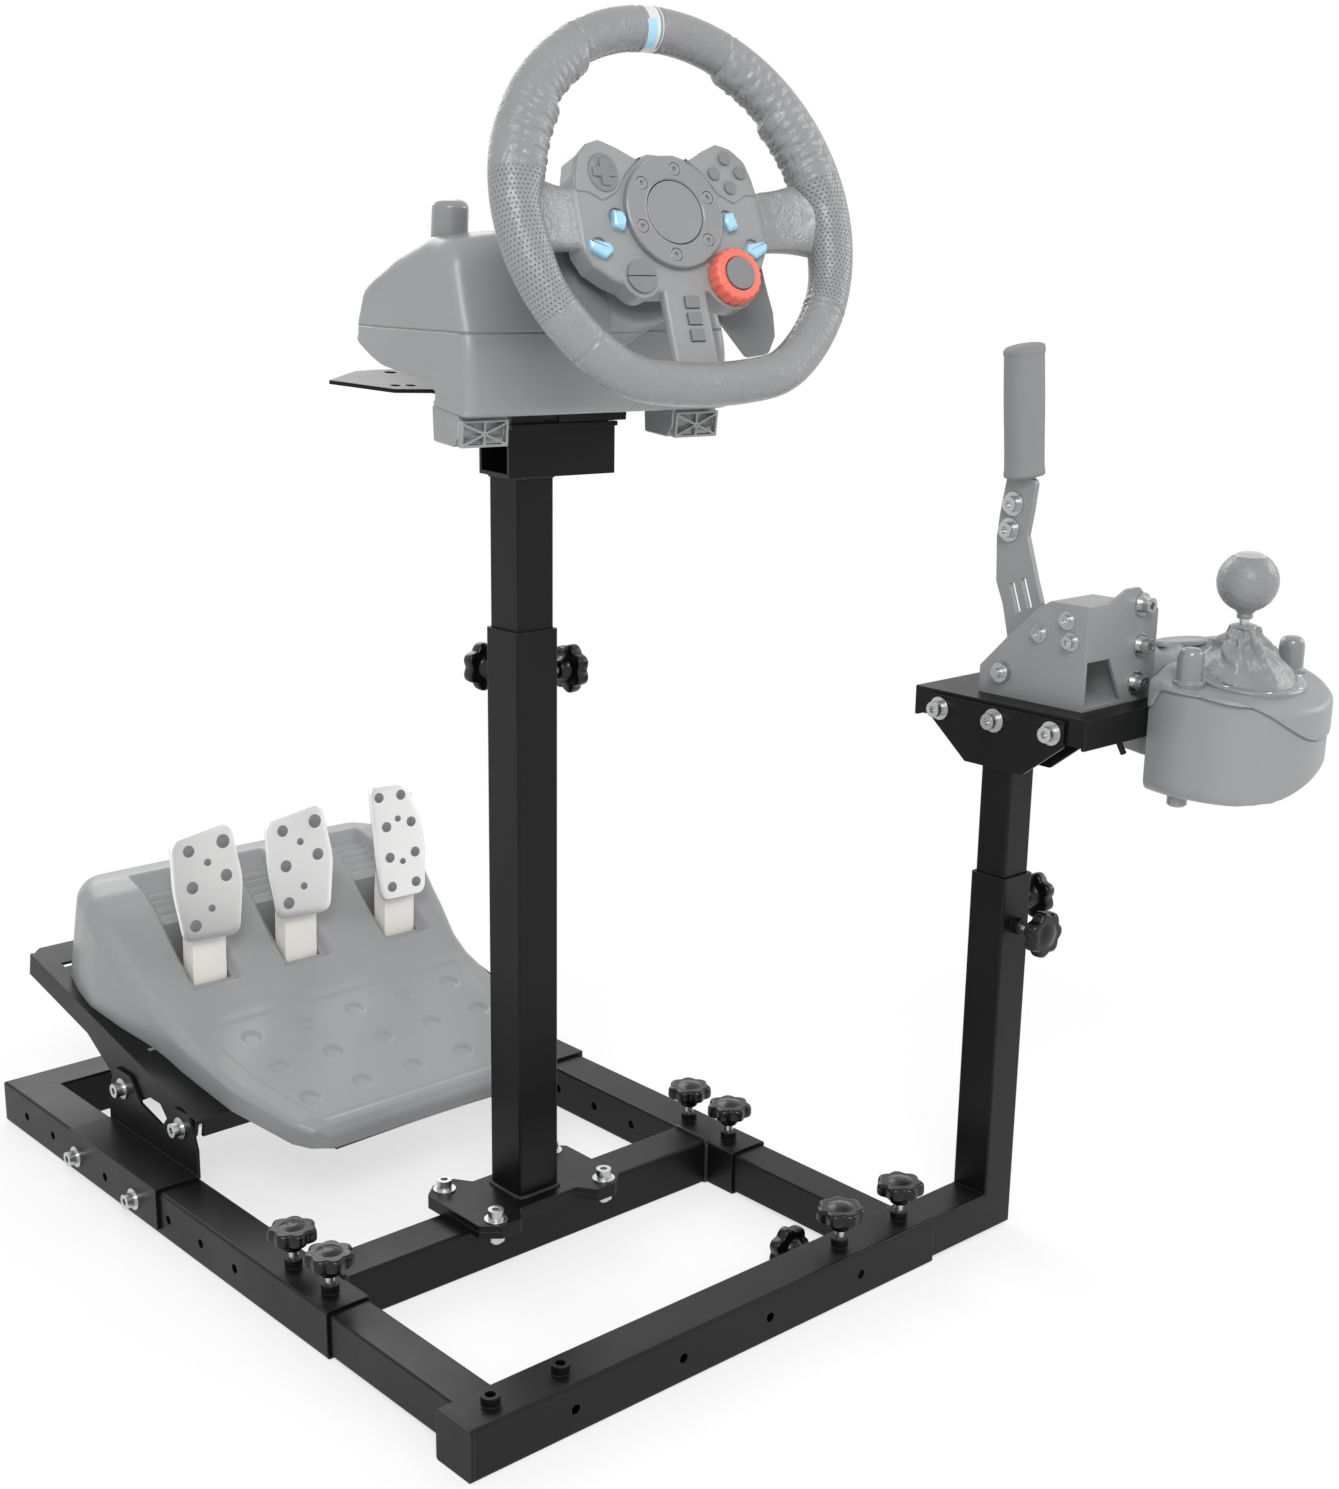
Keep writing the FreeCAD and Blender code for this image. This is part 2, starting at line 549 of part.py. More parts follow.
save("handbrake_arm_bolts", socket_arm)
save("handbrake_bolts", [b.cut(hframe) for b in socket])
grip = rod(grip_r, (hb_x, hb_y + 12, hz + 172.2), gax, grip_len)
grip = round_edges(grip, 5.0, lambda e: e.BoundBox.ZMin > hz + 172.2 + 0.9 * grip_len)
save("handbrake_grip", grip.cut([blade, core]))

# Gear shifter: hangs on the front of the stand tray, turned a little to the driver
cg, sg = cos(radians(gs_yaw)), sin(radians(gs_yaw))
GS = matrix((gs_x, gs_y, stand_top), (cg, sg, 0), (-sg, cg, 0), (0, 0, 1))
m0 = -1.0                                         # middle line of the housing
plan = [(m0 - gs_half, 75), (m0 - gs_half, -12), (m0 - 55, -54), (m0 - 17, gs_nose), (m0 + 17, gs_nose), (m0 + 53, -54),
        (m0 + gs_half, -12), (m0 + gs_half, 75)]


def plan_solid(inset, z0, z1):
    """Housing outline with rounded corners, drawn in by an inset."""
    q = [(m0 + (x - m0) * (1 - inset / gs_half), y + (inset if y < 0 else 0)) for x, y in plan]
    return round_edges(prism(q, "z", z0, z1), 20.0, lambda e: along(e, "z") and e.BoundBox.YMax < 0)


def tilted_top(z0, reach_up):
    """Everything above the sloping top plane whose height is z0 at the lever."""
    return prism([(-200, z0 - 200 * gs_slope), (200, z0 + 200 * gs_slope), (200, reach_up), (-200, reach_up)], "x", -200, 200)


gs_top = 22.0
seam = -14.0
lower = plan_solid(2.0, -gs_depth, seam)
chamfer = prism([(18, -gs_depth - 1), (18, -gs_depth), (18 + gs_depth, -gs_depth + 1.1 * gs_depth), (200, -gs_depth + 1.1 * gs_depth),
                 (200, -gs_depth - 1)], "y", -300, 300)
lower = lower.cut(put(chamfer, matrix((0, 0, 0), (0.745, -0.666, 0), (0.666, 0.745, 0), (0, 0, 1))))
behind = box(200, 700, stand_y0 - 0.5, 0, stand_top - 300, stand_top)
under = box(200, 700, stand_y0 - 0.5, stand_y0 + 0.5, stand_top - 300, stand_top + 0)
save("shifter_housing", put(lower, GS).cut(behind))
bowl_r = 34.0
hump_x0, hump_x1 = -43.0, 50.0
bx, by = 4.0, -4.0                                # middle of the boot
cover = plan_solid(0.0, seam, 60).cut(tilted_top(gs_top, 70))
BACK = GS.inverse()
cover = cover.cut(put(box(200, 700, stand_y0 - 0.5, 0, stand_top - 300, stand_top + 300), BACK))
hump = prism([(8, seam), (8, 20), (20, 30), (34, 42), (70, 42), (75, 34), (75, seam)], "x", hump_x0, hump_x1)
hump = round_edges(hump, 8.0, lambda e: e.BoundBox.ZMin > 29 and e.BoundBox.XLength < 1)
cover = fuse([cover, hump.cut(rod(47, (bx, by, -50), (0, 0, 1), 200))])
piv_gs = 2.0
cover = cover.cut([rod(bowl_r, (0, 0, -50), (0, 0, 1), 200),
                   rod(4.0 + pin_play, (0, -bowl_r - 6, piv_gs), (0, 1, 0), 2 * bowl_r + 12)])
cover = put(cover, GS).cut(behind)
save("shifter_cover", cover)
ring = rod(46, (bx, by, -20), (0, 0, 1), 60).cut([rod(bowl_r + 1, (0, 0, -50), (0, 0, 1), 200), tilted_top(gs_top + 3.0, 90)])
ring = ring.common(tilted_top(gs_top, 90))
knob_at = ((-57, -6), (57, 4))
ring = ring.cut([rod(13.2, (x, y, -50), (0, 0, 1), 200) for x, y in knob_at])
save("shifter_ring", put(ring, GS))
heads = []
for x, y in knob_at:
    k = rod(12.5, (x, y, gs_top - 3), (0, 0, 1), 27)
    k = round_edges(k, 3.0, lambda e: e.BoundBox.ZMin > gs_top + 20)
    k = k.cut([rod(3.0, (x + 14.2 * cos(a * pi / 4), y + 14.2 * sin(a * pi / 4), gs_top + 4), (0, 0, 1), 40) for a in range(8)])
    heads.append(k.common(tilted_top(gs_top, 90)))
# clamp jaws under the tray flange, with the screw ends below the housing
jaws = []
for x, y in knob_at:
    foot_z = -gs_depth + max(0.0, 1.1 * (0.745 * x - 0.666 * y - 18))
    jaws.append(rod(8, (x, y, foot_z - 8), (0, 0, 1), 22).cut(lower))
    reach_in = 66.0
    jaws.append(box(x - 12, x + 12, y + 20, y + reach_in, -stand_flange - 18, -stand_flange))
keep = box(200, 700, stand_y0 - 0.5, 0, 0, stand_top - stand_flange)
front = box(200, 700, -900, stand_y0 - 0.5, 0, stand_top - 20)
save("shifter_clamps", [put(k, GS) for k in heads]
     + [put(j, GS).common(front if k % 2 == 0 else keep) for k, j in enumerate(jaws)])

# Lever on a gimbal ring: the ring rocks on two trunnions, the lever on a cross pin
gimbal = rod(24, (0, 0, piv_gs - 4), (0, 0, 1), 8).cut(rod(18, (0, 0, -50), (0, 0, 1), 100))
trunnions = [rod(4.0, (0, s * 22 - (8 if s < 0 else 0) - (6 if s < 0 else 0), piv_gs), (0, 1, 0), 14) for s in (-1, 1)]
cross = rod(3.0, (-20, 0, piv_gs), (1, 0, 0), 40)
save("gear_pivot", put(fuse([gimbal, cross] + trunnions), GS))
ball_z = 98.0
lever = rod(4, (0, 0, piv_gs), (0, 0, 1), ball_z - ball_r + 4 - piv_gs).fuse(Part.makeSphere(8, vec(0, 0, piv_gs))).removeSplitter()
lever = lever.cut(rod(3.0 + pin_play, (-40, 0, piv_gs), (1, 0, 0), 80))
save("gear_rod", put(lever, GS))
knob = Part.makeSphere(ball_r, vec(0, 0, ball_z)).fuse(rod(8, (0, 0, ball_z - ball_r - 6), (0, 0, 1), 10))
save("gear_ball", put(knob.removeSplitter().cut(lever), GS))
boot_top = 64.0


def circle_wire(r, x, y, z, tilt_z=0.0):
    n = vec(0, -tilt_z, 1)
    n.normalize()
    return Part.Wire([Part.makeCircle(r, vec(x, y, z), n)])


def cone_between(r0, r1, z0, z1):
    return Part.makeLoft([circle_wire(r0, bx, by, z0, gs_slope), circle_wire(r1, 0, 0, z1)], True, True)


boot_z = gs_top + 3.0 + by * gs_slope + 0.05
boot = cone_between(38, 10, boot_z, boot_top).cut([cone_between(34.5, 7, boot_z - 0.5, boot_top - 4), rod(4.3, (0, 0, 0), (0, 0, 1), 90)])
save("gear_boot", put(boot, GS))

# Wheel head: slides in the main column
cy_, sy_ = cos(radians(head_yaw)), sin(radians(head_yaw))
HEAD = matrix((0, 0, 0), (cy_, sy_, 0), (-sy_, cy_, 0), (0, 0, 1))
save("inner_tube", square_tube(rail, "z", inner_bottom, head_z, 0, 0, wall, 2.0))
ch = box(channel_x0, channel_x1, channel_y0, channel_y1, head_z, head_z + channel_h)
ch = ch.cut(box(channel_x0 - 1, channel_x1 + 1, channel_y0 + sheet, channel_y1 - sheet, head_z + sheet, head_z + 60))
save("head_channel", put(ch, HEAD))
car_z = head_z + channel_h
carrier = box(channel_x0, channel_x1, channel_y0 - 4, channel_y1 + 4, car_z, car_z + 3.5)
pz = car_z + 3.5
cp, sp = cos(radians(plate_tilt)), sin(radians(plate_tilt))
PLATE = HEAD * matrix((0, channel_y0 - 4, pz + 8.0), (1, 0, 0), (0, cp, sp), (0, -sp, cp))
wp = prism([(-43, 0), (channel_x1 + 10, 0), (channel_x1 + 10, 90), (82, 99), (105, 145), (66, 182), (46, 186), (-46, 186),
            (-66, 182), (-105, 145), (-72, 99), (-43, 93)], "z", 0, sheet)
wp = wp.cut([rod(stud_r, (sx * 52, 112, -1), (0, 0, 1), 9) for sx in (-1, 1)]
            + [rod(stud_r, (sx * 64, 114, -1), (0, 0, 1), 9) for sx in (-1, 1)]
            + [rod(5.0, (sx * 40, 172, -1), (0, 0, 1), 9) for sx in (-1, 1)])
wfl = box(15, channel_x1 + 8, 0, sheet, -7.5, 0)
save("wheel_plate", put(fuse([wp, wfl]), PLATE))
wedges = [box(x0, x1, sheet, 38, -30, 0) for x0, x1 in ((20, 60), (-24, 4))]
room = put(box(-200, 200, -100, 100, pz, pz + 60), HEAD)
save("head_carrier", [put(carrier, HEAD)] + [put(w, PLATE).common(room) for w in wedges])

# Steering wheel frame: X right, Y up the wheel, Z to the driver
cw, sw = cos(radians(wheel_tilt)), sin(radians(wheel_tilt))
WHEEL = HEAD * matrix((0, wheel_y, wheel_z), (1, 0, 0), (0, sw, cw), (0, -cw, sw))

# Wheel base on the plate, in the plate's frame: side profile, front section and plan meet
bw, bh = base_half, base_crest
profile = [(-81, 14), (-76, 61), (-46, bh - 12), (-30, bh - 3), (0, bh), (40, bh - 14), (77, bh - 38), (92, bh - 58),
           (101, 54), (99, 38), (45, 29), (-32, 29), (-32, 14)]
sec = [(bw, 10), (bw, 84), (bw - 8, 106), (bw - 24, bh - 16), (bw - 56, bh - 4), (0, bh + 2)]
sec = sec + [(-x, z) for x, z in reversed(sec) if x > 0]
pl = [(-bw, -85), (bw, -85), (bw, 92), (bw - 10, 102), (-bw + 10, 102), (-bw, 92)]
hb = round_edges(prism(profile, "x", -bw - 1, bw + 1), 6.0, lambda e: along(e, "x") and e.BoundBox.ZMin > 50)
hb = hb.common(round_edges(prism(sec, "y", -90, 110), 12.0, lambda e: along(e, "y") and e.BoundBox.ZMin > 50))
hb = hb.common(round_edges(prism(pl, "z", 0, bh + 10), 9.0, lambda e: along(e, "z")))
foot_block = box(-40, 40, -20, 92, sheet, 40)
nose = Part.makeCone(nose_r - 2, nose_r, 92, vec(0, 0, -nose_z - 92), vec(0, 0, 1))
nose = round_edges(nose, 6.0, lambda e: e.BoundBox.ZMin > -nose_z - 1)
bore = rod(shaft_r + 0.5, (0, 0, -nose_z - 60), (0, 0, 1), 80)
housing = put(fuse([hb, foot_block]), PLATE).fuse(put(nose, WHEEL)).removeSplitter().cut(put(bore, WHEEL))
save("wheel_base", housing)
clamps = []
for sx in (-1, 1):
    c = prism([(-74, 14), (-74, 0), (-66, -9), (-34, -10), (-30, 14)], "x", sx * 88 - 19, sx * 88 + 19)
    pockets = []
    for a, b in ((-14, -2), (2, 14)):
        for tri in ([(a, 9), (b, 9), ((a + b) / 2, 1)], [(a, -7), (b, -7), ((a + b) / 2, -1)]):
            pockets.append(prism([(sx * 88 + x, z) for x, z in tri], "y", -80, -71))
    clamps.append(put(c.cut(pockets), PLATE))
knobs_b = []
for sx in (-1, 1):
    k = rod(clamp_knob_r, (sx * clamp_knob_x, -4, 100), (0, 0, 1), 51)
    k = round_edges(k, 3.0, lambda e: e.BoundBox.ZMin > 149)
    knobs_b.append(put(k, PLATE).cut(housing))
save("base_clamps", clamps + [s for k in knobs_b for s in k.Solids])


def arc_tube(cx, cy, r, a0, a1, t):
    """Round tube bent along an arc in the wheel plane, angles in degrees."""
    c = Part.Wire([Part.makeCircle(t, vec(cx + r * cos(radians(a0)), cy + r * sin(radians(a0)), 0),
                                   vec(-sin(radians(a0)), cos(radians(a0)), 0))])
    return Part.Face(c).revolve(vec(cx, cy, 0), vec(0, 0, 1), a1 - a0)


ccx = (rim_r - corner_r) * cos(radians(a_low))
ccy = (rim_r - corner_r) * sin(radians(a_low))
fcy = ccy + sqrt((flat_r - corner_r) ** 2 - ccx ** 2)
a_mid = degrees(atan2(ccy - fcy, ccx))
segs = [arc_tube(0, 0, rim_r, a_low, 180 - a_low, rim_tube),
        arc_tube(ccx, ccy, corner_r, a_mid, a_low, rim_tube),
        arc_tube(-ccx, ccy, corner_r, 180 - a_low, 180 - a_mid, rim_tube),
        arc_tube(0, fcy, flat_r, -180 - a_mid, a_mid, rim_tube)]
rim = fuse(segs)
save("wheel_rim", put(rim, WHEEL))

# Hub: a winged control housing on three spokes, with a screwed ring in its middle
hz0, hz1 = -hub_back, -hub_front
wing = [(0, 42), (10, 42.5), (21, 39), (34, 46), (46, 51), (56, 48), (66, 39), (hub_half, 26), (hub_half + 2, 10),
        (hub_half + 2, -22), (hub_half - 4, -33), (54, -41), (34, -50), (17, -50)]
wing = wing + [(-x, y) for x, y in reversed(wing) if x > 0]
wing = prism(wing, "z", hz0, hz1)
wing = round_edges(wing, 2.5, lambda e: e.BoundBox.ZMin > hz1 - 0.1)
low = -flat_r + fcy
side = box(-rim_r, rim_r, -21, 19, hz1 - 9, hz1 - 1)
side = round_edges(side, 3.0, lambda e: along(e, "x"))
lowspoke = box(-17, 17, low, 0, hz1 - 8, hz1)
lowspoke = round_edges(lowspoke, 3.0, lambda e: along(e, "y"))
boss = rod(14, (-33, -40, hz0 + 4), (0, 0, 1), hz1 - hz0 - 3)
boss2 = rod(dial_r + 1, (dial_x, dial_y, hz0 + 4), (0, 0, 1), hz1 - hz0 - 4)
core = rod(30, (0, 0, hz0 - 12), (0, 0, 1), 14)
hinge_x, hinge_z = 42.0, hz0 - 10.0
lugs = []
for sx in (-1, 1):
    for y0 in (14.0, -34.0):
        lugs.append(box(sx * hinge_x - 5, sx * hinge_x + 5, y0, y0 + 4, hinge_z - 5, hz0 + 1))
    lugs.append(rod(2.0, (sx * hinge_x, -34, hinge_z), (0, 1, 0), 52))
hub = fuse([wing, side, lowspoke, boss, boss2, core] + lugs).cut(rim)
pockets = [rod(6.0, (sx * x, y, hz1 - 1.5), (0, 0, 1), 5) for sx in (-1, 1) for x, y in ((43, -0.5), (60, -20))]
pockets += [rod(4.6, (x, y, hz1 - 1.5), (0, 0, 1), 5) for x, y in ((48.5, 40), (38, 29.5), (59, 30.5), (49, 20))]
pockets.append(rod(10.5, (-47, 28.5, hz1 - 1.5), (0, 0, 1), 5))
pockets += [box(-2.5, 8.5, y - 4, y + 4, hz1 - 1.5, hz1 + 5) for y in (-57, -68, -79)]
hub = hub.cut(pockets)
save("wheel_spokes", put(hub, WHEEL))
ringp = rod(hub_ring_r, (0, 2, hz1), (0, 0, 1), 5).cut(rod(21.5, (0, 2, hz1 - 1), (0, 0, 1), 9))
ringp = round_edges(ringp, 1.5, lambda e: e.BoundBox.ZMin > hz1 + 4)
screws = []
for k in range(6):
    a = radians(80 + 60 * k)
    x, y = 29 * cos(a), 2 + 29 * sin(a)
    screws.append(rod(4.6, (x, y, hz1 + 2.5), (0, 0, 1), 9))
ringp = ringp.cut(screws)
disc = rod(20.8, (0, 2, hz1), (0, 0, 1), 4)
heads = [rod(4.0, (29 * cos(radians(80 + 60 * k)), 2 + 29 * sin(radians(80 + 60 * k)), hz1 + 2.5), (0, 0, 1), 2.2).cut(
    rod(1.8, (29 * cos(radians(80 + 60 * k)), 2 + 29 * sin(radians(80 + 60 * k)), hz1 + 3.2), (0, 0, 1), 4)) for k in range(6)]
save("hub_ring", [put(s, WHEEL) for s in [ringp, disc] + heads])
blue = [rod(5.6, (sx * x, y, hz1 - 1.5), (0, 0, 1), 6) for sx in (-1, 1) for x, y in ((43, -0.5), (60, -20))]
blue = [round_edges(b, 1.2, lambda e: e.BoundBox.ZMin > hz1 + 3) for b in blue]
save("blue_buttons", [put(b, WHEEL) for b in blue])
grey = [rod(4.3, (x, y, hz1 - 1.5), (0, 0, 1), 4.5) for x, y in ((48.5, 40), (38, 29.5), (59, 30.5), (49, 20))]
grey.append(fuse([box(-47 - 9, -47 + 9, 28.5 - 3, 28.5 + 3, hz1 - 1.5, hz1 + 2.5), box(-47 - 3, -47 + 3, 28.5 - 9, 28.5 + 9, hz1 - 1.5, hz1 + 2.5)]))
grey += [box(-2.2, 8.2, y - 3.7, y + 3.7, hz1 - 1.5, hz1 + 1.5) for y in (-57, -68, -79)]
grey += [rod(11, (-33, -40, hz1 + 1), (0, 0, 1), 2.0).cut(box(-50, -10, -40.4, -39.6, hz1, hz1 + 9))]
grey.append(rod(10.8, (dial_x, dial_y, hz1), (0, 0, 1), 12.0))
save("grey_buttons", [put(s, WHEEL) for g in grey for s in g.Solids])
shaft = rod(shaft_r, (0, 0, -nose_z - 50), (0, 0, 1), nose_z + 50 + hz0 - 12)
save("wheel_shaft", put(shaft, WHEEL))
for sx, name in ((-1, "left_paddle"), (1, "right_paddle")):
    out = [(hinge_x - 2, -27), (hinge_x - 2, 12), (hinge_x + 6, 22), (74, 24), (84, 6), (86, -36), (88, -56), (86, -72), (78, -84),
           (60, -86), (44, -62)]
    blade = round_edges(prism([(sx * x, y) for x, y in out], "z", hinge_z - 1.5, hinge_z + 1.5), 5.0,
                        lambda e: along(e, "z") and abs(e.BoundBox.XMin) > 50)
    barrel = rod(4.5, (sx * hinge_x, -29.5, hinge_z), (0, 1, 0), 43)
    clear = [box(sx * hinge_x - 7, sx * hinge_x + 7, y0, y0 + 7, hinge_z - 9, hinge_z + 9) for y0 in (13.5, -36.5)]
    pad = blade.cut(clear).fuse(barrel).cut(rod(2.0 + pin_play, (sx * hinge_x, -60, hinge_z), (0, 1, 0), 120))
    save(name, put(pad.removeSplitter(), WHEEL))
dial = rod(dial_r, (dial_x, dial_y, hz1 + 0.3), (0, 0, 1), 11)
dial = dial.cut([rod(11.1, (dial_x, dial_y, hz1 - 1), (0, 0, 1), 19)]
                + [rod(2.2, (dial_x + (dial_r + 1.2) * cos(k * pi / 12), dial_y + (dial_r + 1.2) * sin(k * pi / 12), hz1 - 5), (0, 0, 1), 30)
                   for k in range(24)])
save("red_dial", put(dial, WHEEL))
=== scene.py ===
import json
import math
import bpy
import bmesh
import numpy as np
from mathutils import Matrix, Vector

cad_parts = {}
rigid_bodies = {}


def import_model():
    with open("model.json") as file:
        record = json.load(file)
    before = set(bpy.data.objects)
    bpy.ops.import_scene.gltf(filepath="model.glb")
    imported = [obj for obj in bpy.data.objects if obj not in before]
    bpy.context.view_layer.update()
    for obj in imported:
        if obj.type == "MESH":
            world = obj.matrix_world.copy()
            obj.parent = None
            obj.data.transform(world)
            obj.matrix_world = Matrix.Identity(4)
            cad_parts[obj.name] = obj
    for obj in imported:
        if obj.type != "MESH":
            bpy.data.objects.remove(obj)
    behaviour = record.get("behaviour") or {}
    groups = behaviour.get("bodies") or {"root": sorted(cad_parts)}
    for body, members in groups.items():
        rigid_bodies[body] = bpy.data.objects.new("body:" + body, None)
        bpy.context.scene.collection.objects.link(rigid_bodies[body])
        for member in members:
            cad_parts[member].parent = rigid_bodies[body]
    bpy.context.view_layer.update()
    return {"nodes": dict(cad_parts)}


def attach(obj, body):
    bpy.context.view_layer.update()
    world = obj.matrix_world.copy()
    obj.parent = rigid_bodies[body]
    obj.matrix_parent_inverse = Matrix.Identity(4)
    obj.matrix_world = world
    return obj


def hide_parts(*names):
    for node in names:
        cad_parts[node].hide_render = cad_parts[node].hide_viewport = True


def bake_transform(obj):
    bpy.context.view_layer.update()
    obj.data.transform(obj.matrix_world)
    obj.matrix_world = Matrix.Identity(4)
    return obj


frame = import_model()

bl_info = {"name": "Racing cockpit dressing", "version": (1, 0, 0), "blender": (4, 5, 0),
    "location": "3D View > Sidebar > Cockpit", "category": "Object",
    "description": "Dresses the CAD racing cockpit: coated steel, leather, moulded plastic and brushed pads"}

NODES = frame["nodes"]
MM = 0.001


# Places, in millimetres. Each frame's columns are its own x, y and z axes and its origin.
def place(o, x=(1, 0, 0), y=(0, 1, 0), z=(0, 0, 1)):
    """A 4 by 4 frame from an origin and three axes."""
    m = np.eye(4)
    m[:3, 0], m[:3, 1], m[:3, 2], m[:3, 3] = x, y, z, o
    return m


def turn(deg):
    return math.cos(math.radians(deg)), math.sin(math.radians(deg))


def outward(p, d):
    """A frame at p whose z points along d."""
    d = np.array(d, float)
    x = np.array((0, 1, 0) if abs(d[1]) < 0.5 else (1, 0, 0), float)
    return place(p, x, np.cross(d, x), d)


c, s = turn(-8.6)
HEAD = place((0, 0, 0), (c, s, 0), (-s, c, 0))
c, s = turn(6)
PLATE = HEAD @ place((0, -31.5, 688.5), y=(0, c, s), z=(0, -s, c))
c, s = turn(20.2)
WHEEL = HEAD @ place((0, -207.8, 829), y=(0, s, c), z=(0, -c, s))
c, s = turn(11.9)
TRAY = place((0, 207.4, 90.7), y=(0, c, s), z=(0, -s, c))
c, s = turn(10)
# Across the shifter's top: the way to the stand behind it, and the way to its far corner
BEHIND, FAR = (-0.2924, 0.9563), (0.745, -0.667)
PEDAL_X = (-97, 0, 112)
PEDALS = [TRAY @ place((x, 148, 18), y=(0, c, -s), z=(0, s, c)) for x in PEDAL_X]
c, s = turn(-17)
GEAR = place((449, -350, 461), (c, s, 0), (-s, c, 0))

FRAME_KNOBS = [place((x, y, 40)) for x in (-210, 210) for y in (24, -28)]
FRAME_KNOBS += [outward((0, 20, 485), (0, 1, 0)), outward((20, 0, 485), (1, 0, 0))]
FRONT_KNOBS = [place((140, -228, 40)), place((211, -228, 40)), outward((132, -208, 20), (0, 1, 0))]
POST_KNOBS = [outward((319, -245.5, 275), (0, -1, 0)), outward((336.5, -228, 288), (1, 0, 0))]
# The rim's middle line: radii of its round part, corners and foot, and the angle where a corner starts
RIM_R, CORNER_R, FLAT_R, LOW = 122.5, 60.0, 300.0, -55.0
RIM_TUBE = 14.2
# Steps round the rim's leather, and from one stitch to the next
RIM_STEPS, STITCH_STEP = 840, 6
# The hub's face behind the rim's plane, the dial's place on it, and half a pedal arm's width
FACE, DIAL, ARM_HALF = -8.0, (38, -41), 17
# Half of the frame tube's and of the inner tube's width, at the middle of their weld beads
TUBE_BEAD, INNER_BEAD = 20.2, 17.7
# Where those beads lie: on the column's foot plate, under its head, and at the cross beam's ends
FOOT_TOP, HEAD_LOW, BEAM_END, FLOOR_GAP = 51.6, 640.2, 190.0, 0.3
# The shifter's top: its height over the lever's pivot, and its fall towards the driver
GEAR_TOP, GEAR_FALL = 22, 0.15
# How far behind the lever's pivot the shifter ends, at the stand's flange
FLANGE = 36.4
# The camera fitted to the photograph, in pixels of it: its size, focal length and principal point
PHOTO_WIDE, PHOTO_TALL, FOCAL, CENTRE = 1339, 1489, 1990.2, (630.1, 794.1)
SENSOR = 36.0


# Colours
def linear(code, alpha=1.0):
    """An sRGB hex colour as linear red, green, blue and alpha."""
    v = np.array([int(code[k:k + 2], 16) for k in (1, 3, 5)]) / 255
    v = np.where(v <= 0.04045, v / 12.92, ((v + 0.055) / 1.055) ** 2.4)
    return (*v, alpha)


def picked(prop):
    """A colour property, which Blender keeps linear, as red, green, blue and alpha."""
    return (*prop[:3], 1.0)


def colour_setting(name, about, code):
    """A colour that a user may change."""
    return bpy.props.FloatVectorProperty(name=name, description=about, subtype="COLOR",
        default=linear(code)[:3], min=0, max=1)


def length_setting(name, about, default, low, high):
    """A length that a user may change."""
    return bpy.props.FloatProperty(name=name, description=about, subtype="DISTANCE", unit="LENGTH",
        default=default, min=low, max=high)


class CockpitLooks(bpy.types.PropertyGroup):
    """Colours and sizes that a user would change."""
    frame_colour: colour_setting("Frame", "Powder coat of the frame", "#0d0d0e")
    device_colour: colour_setting("Devices", "Moulded plastic of wheel, pedals and shifter", "#909293")
    leather_colour: colour_setting("Leather", "Leather of rim and boot", "#8e8f90")
    button_colour: colour_setting("Buttons", "Coloured buttons", "#9fd2e9")
    dial_colour: colour_setting("Dial", "Fluted ring of the dial", "#ee7263")
    hole_pitch: length_setting("Hole pitch", "Spacing of the holes in the rim's leather", 0.0029, 0.001,
        0.01)
    edge_ease: length_setting("Edge easing", "Rounding of folded and moulded edges", 0.0009, 0.0001, 0.003)


class CockpitStageSettings(bpy.types.PropertyGroup):
    """Floor and lamps."""
    floor_colour: colour_setting("Floor", "Colour of the floor", "#fbfbfb")
    lamp_power: bpy.props.FloatProperty(name="Lamp power", description="Power of the large lamp in watts",
        unit="POWER", default=60.0, min=0, max=500)


def looks():
    return bpy.context.scene.cockpit_looks


# Finishes by their short names, once they are made
STUFF = {}


# Materials
def add(mat, kind, inputs=None, **settings):
    """Adds one shader node. Inputs are values, or sockets to link, by name or number; settings are
    properties."""
    n = mat.node_tree.nodes.new("ShaderNode" + kind)
    for key, value in settings.items():
        setattr(n, key, value)
    for key, value in (inputs or {}).items():
        if isinstance(value, bpy.types.NodeSocket):
            mat.node_tree.links.new(value, n.inputs[key])
        else:
            n.inputs[key].default_value = value
    return n


def started(name):
    """An empty node material and its object coordinates in metres."""
    mat = bpy.data.materials.new(name)
    mat.use_nodes = True
    mat.node_tree.nodes.clear()
    return mat, add(mat, "TexCoord").outputs["Object"]


def finished(mat, shader):
    add(mat, "OutputMaterial", {"Surface": shader.outputs[0]})
    return mat


def toned(tone, factor):
    """A colour made lighter or darker by a factor."""
    return (*(min(1.0, v * factor) for v in tone[:3]), 1.0)


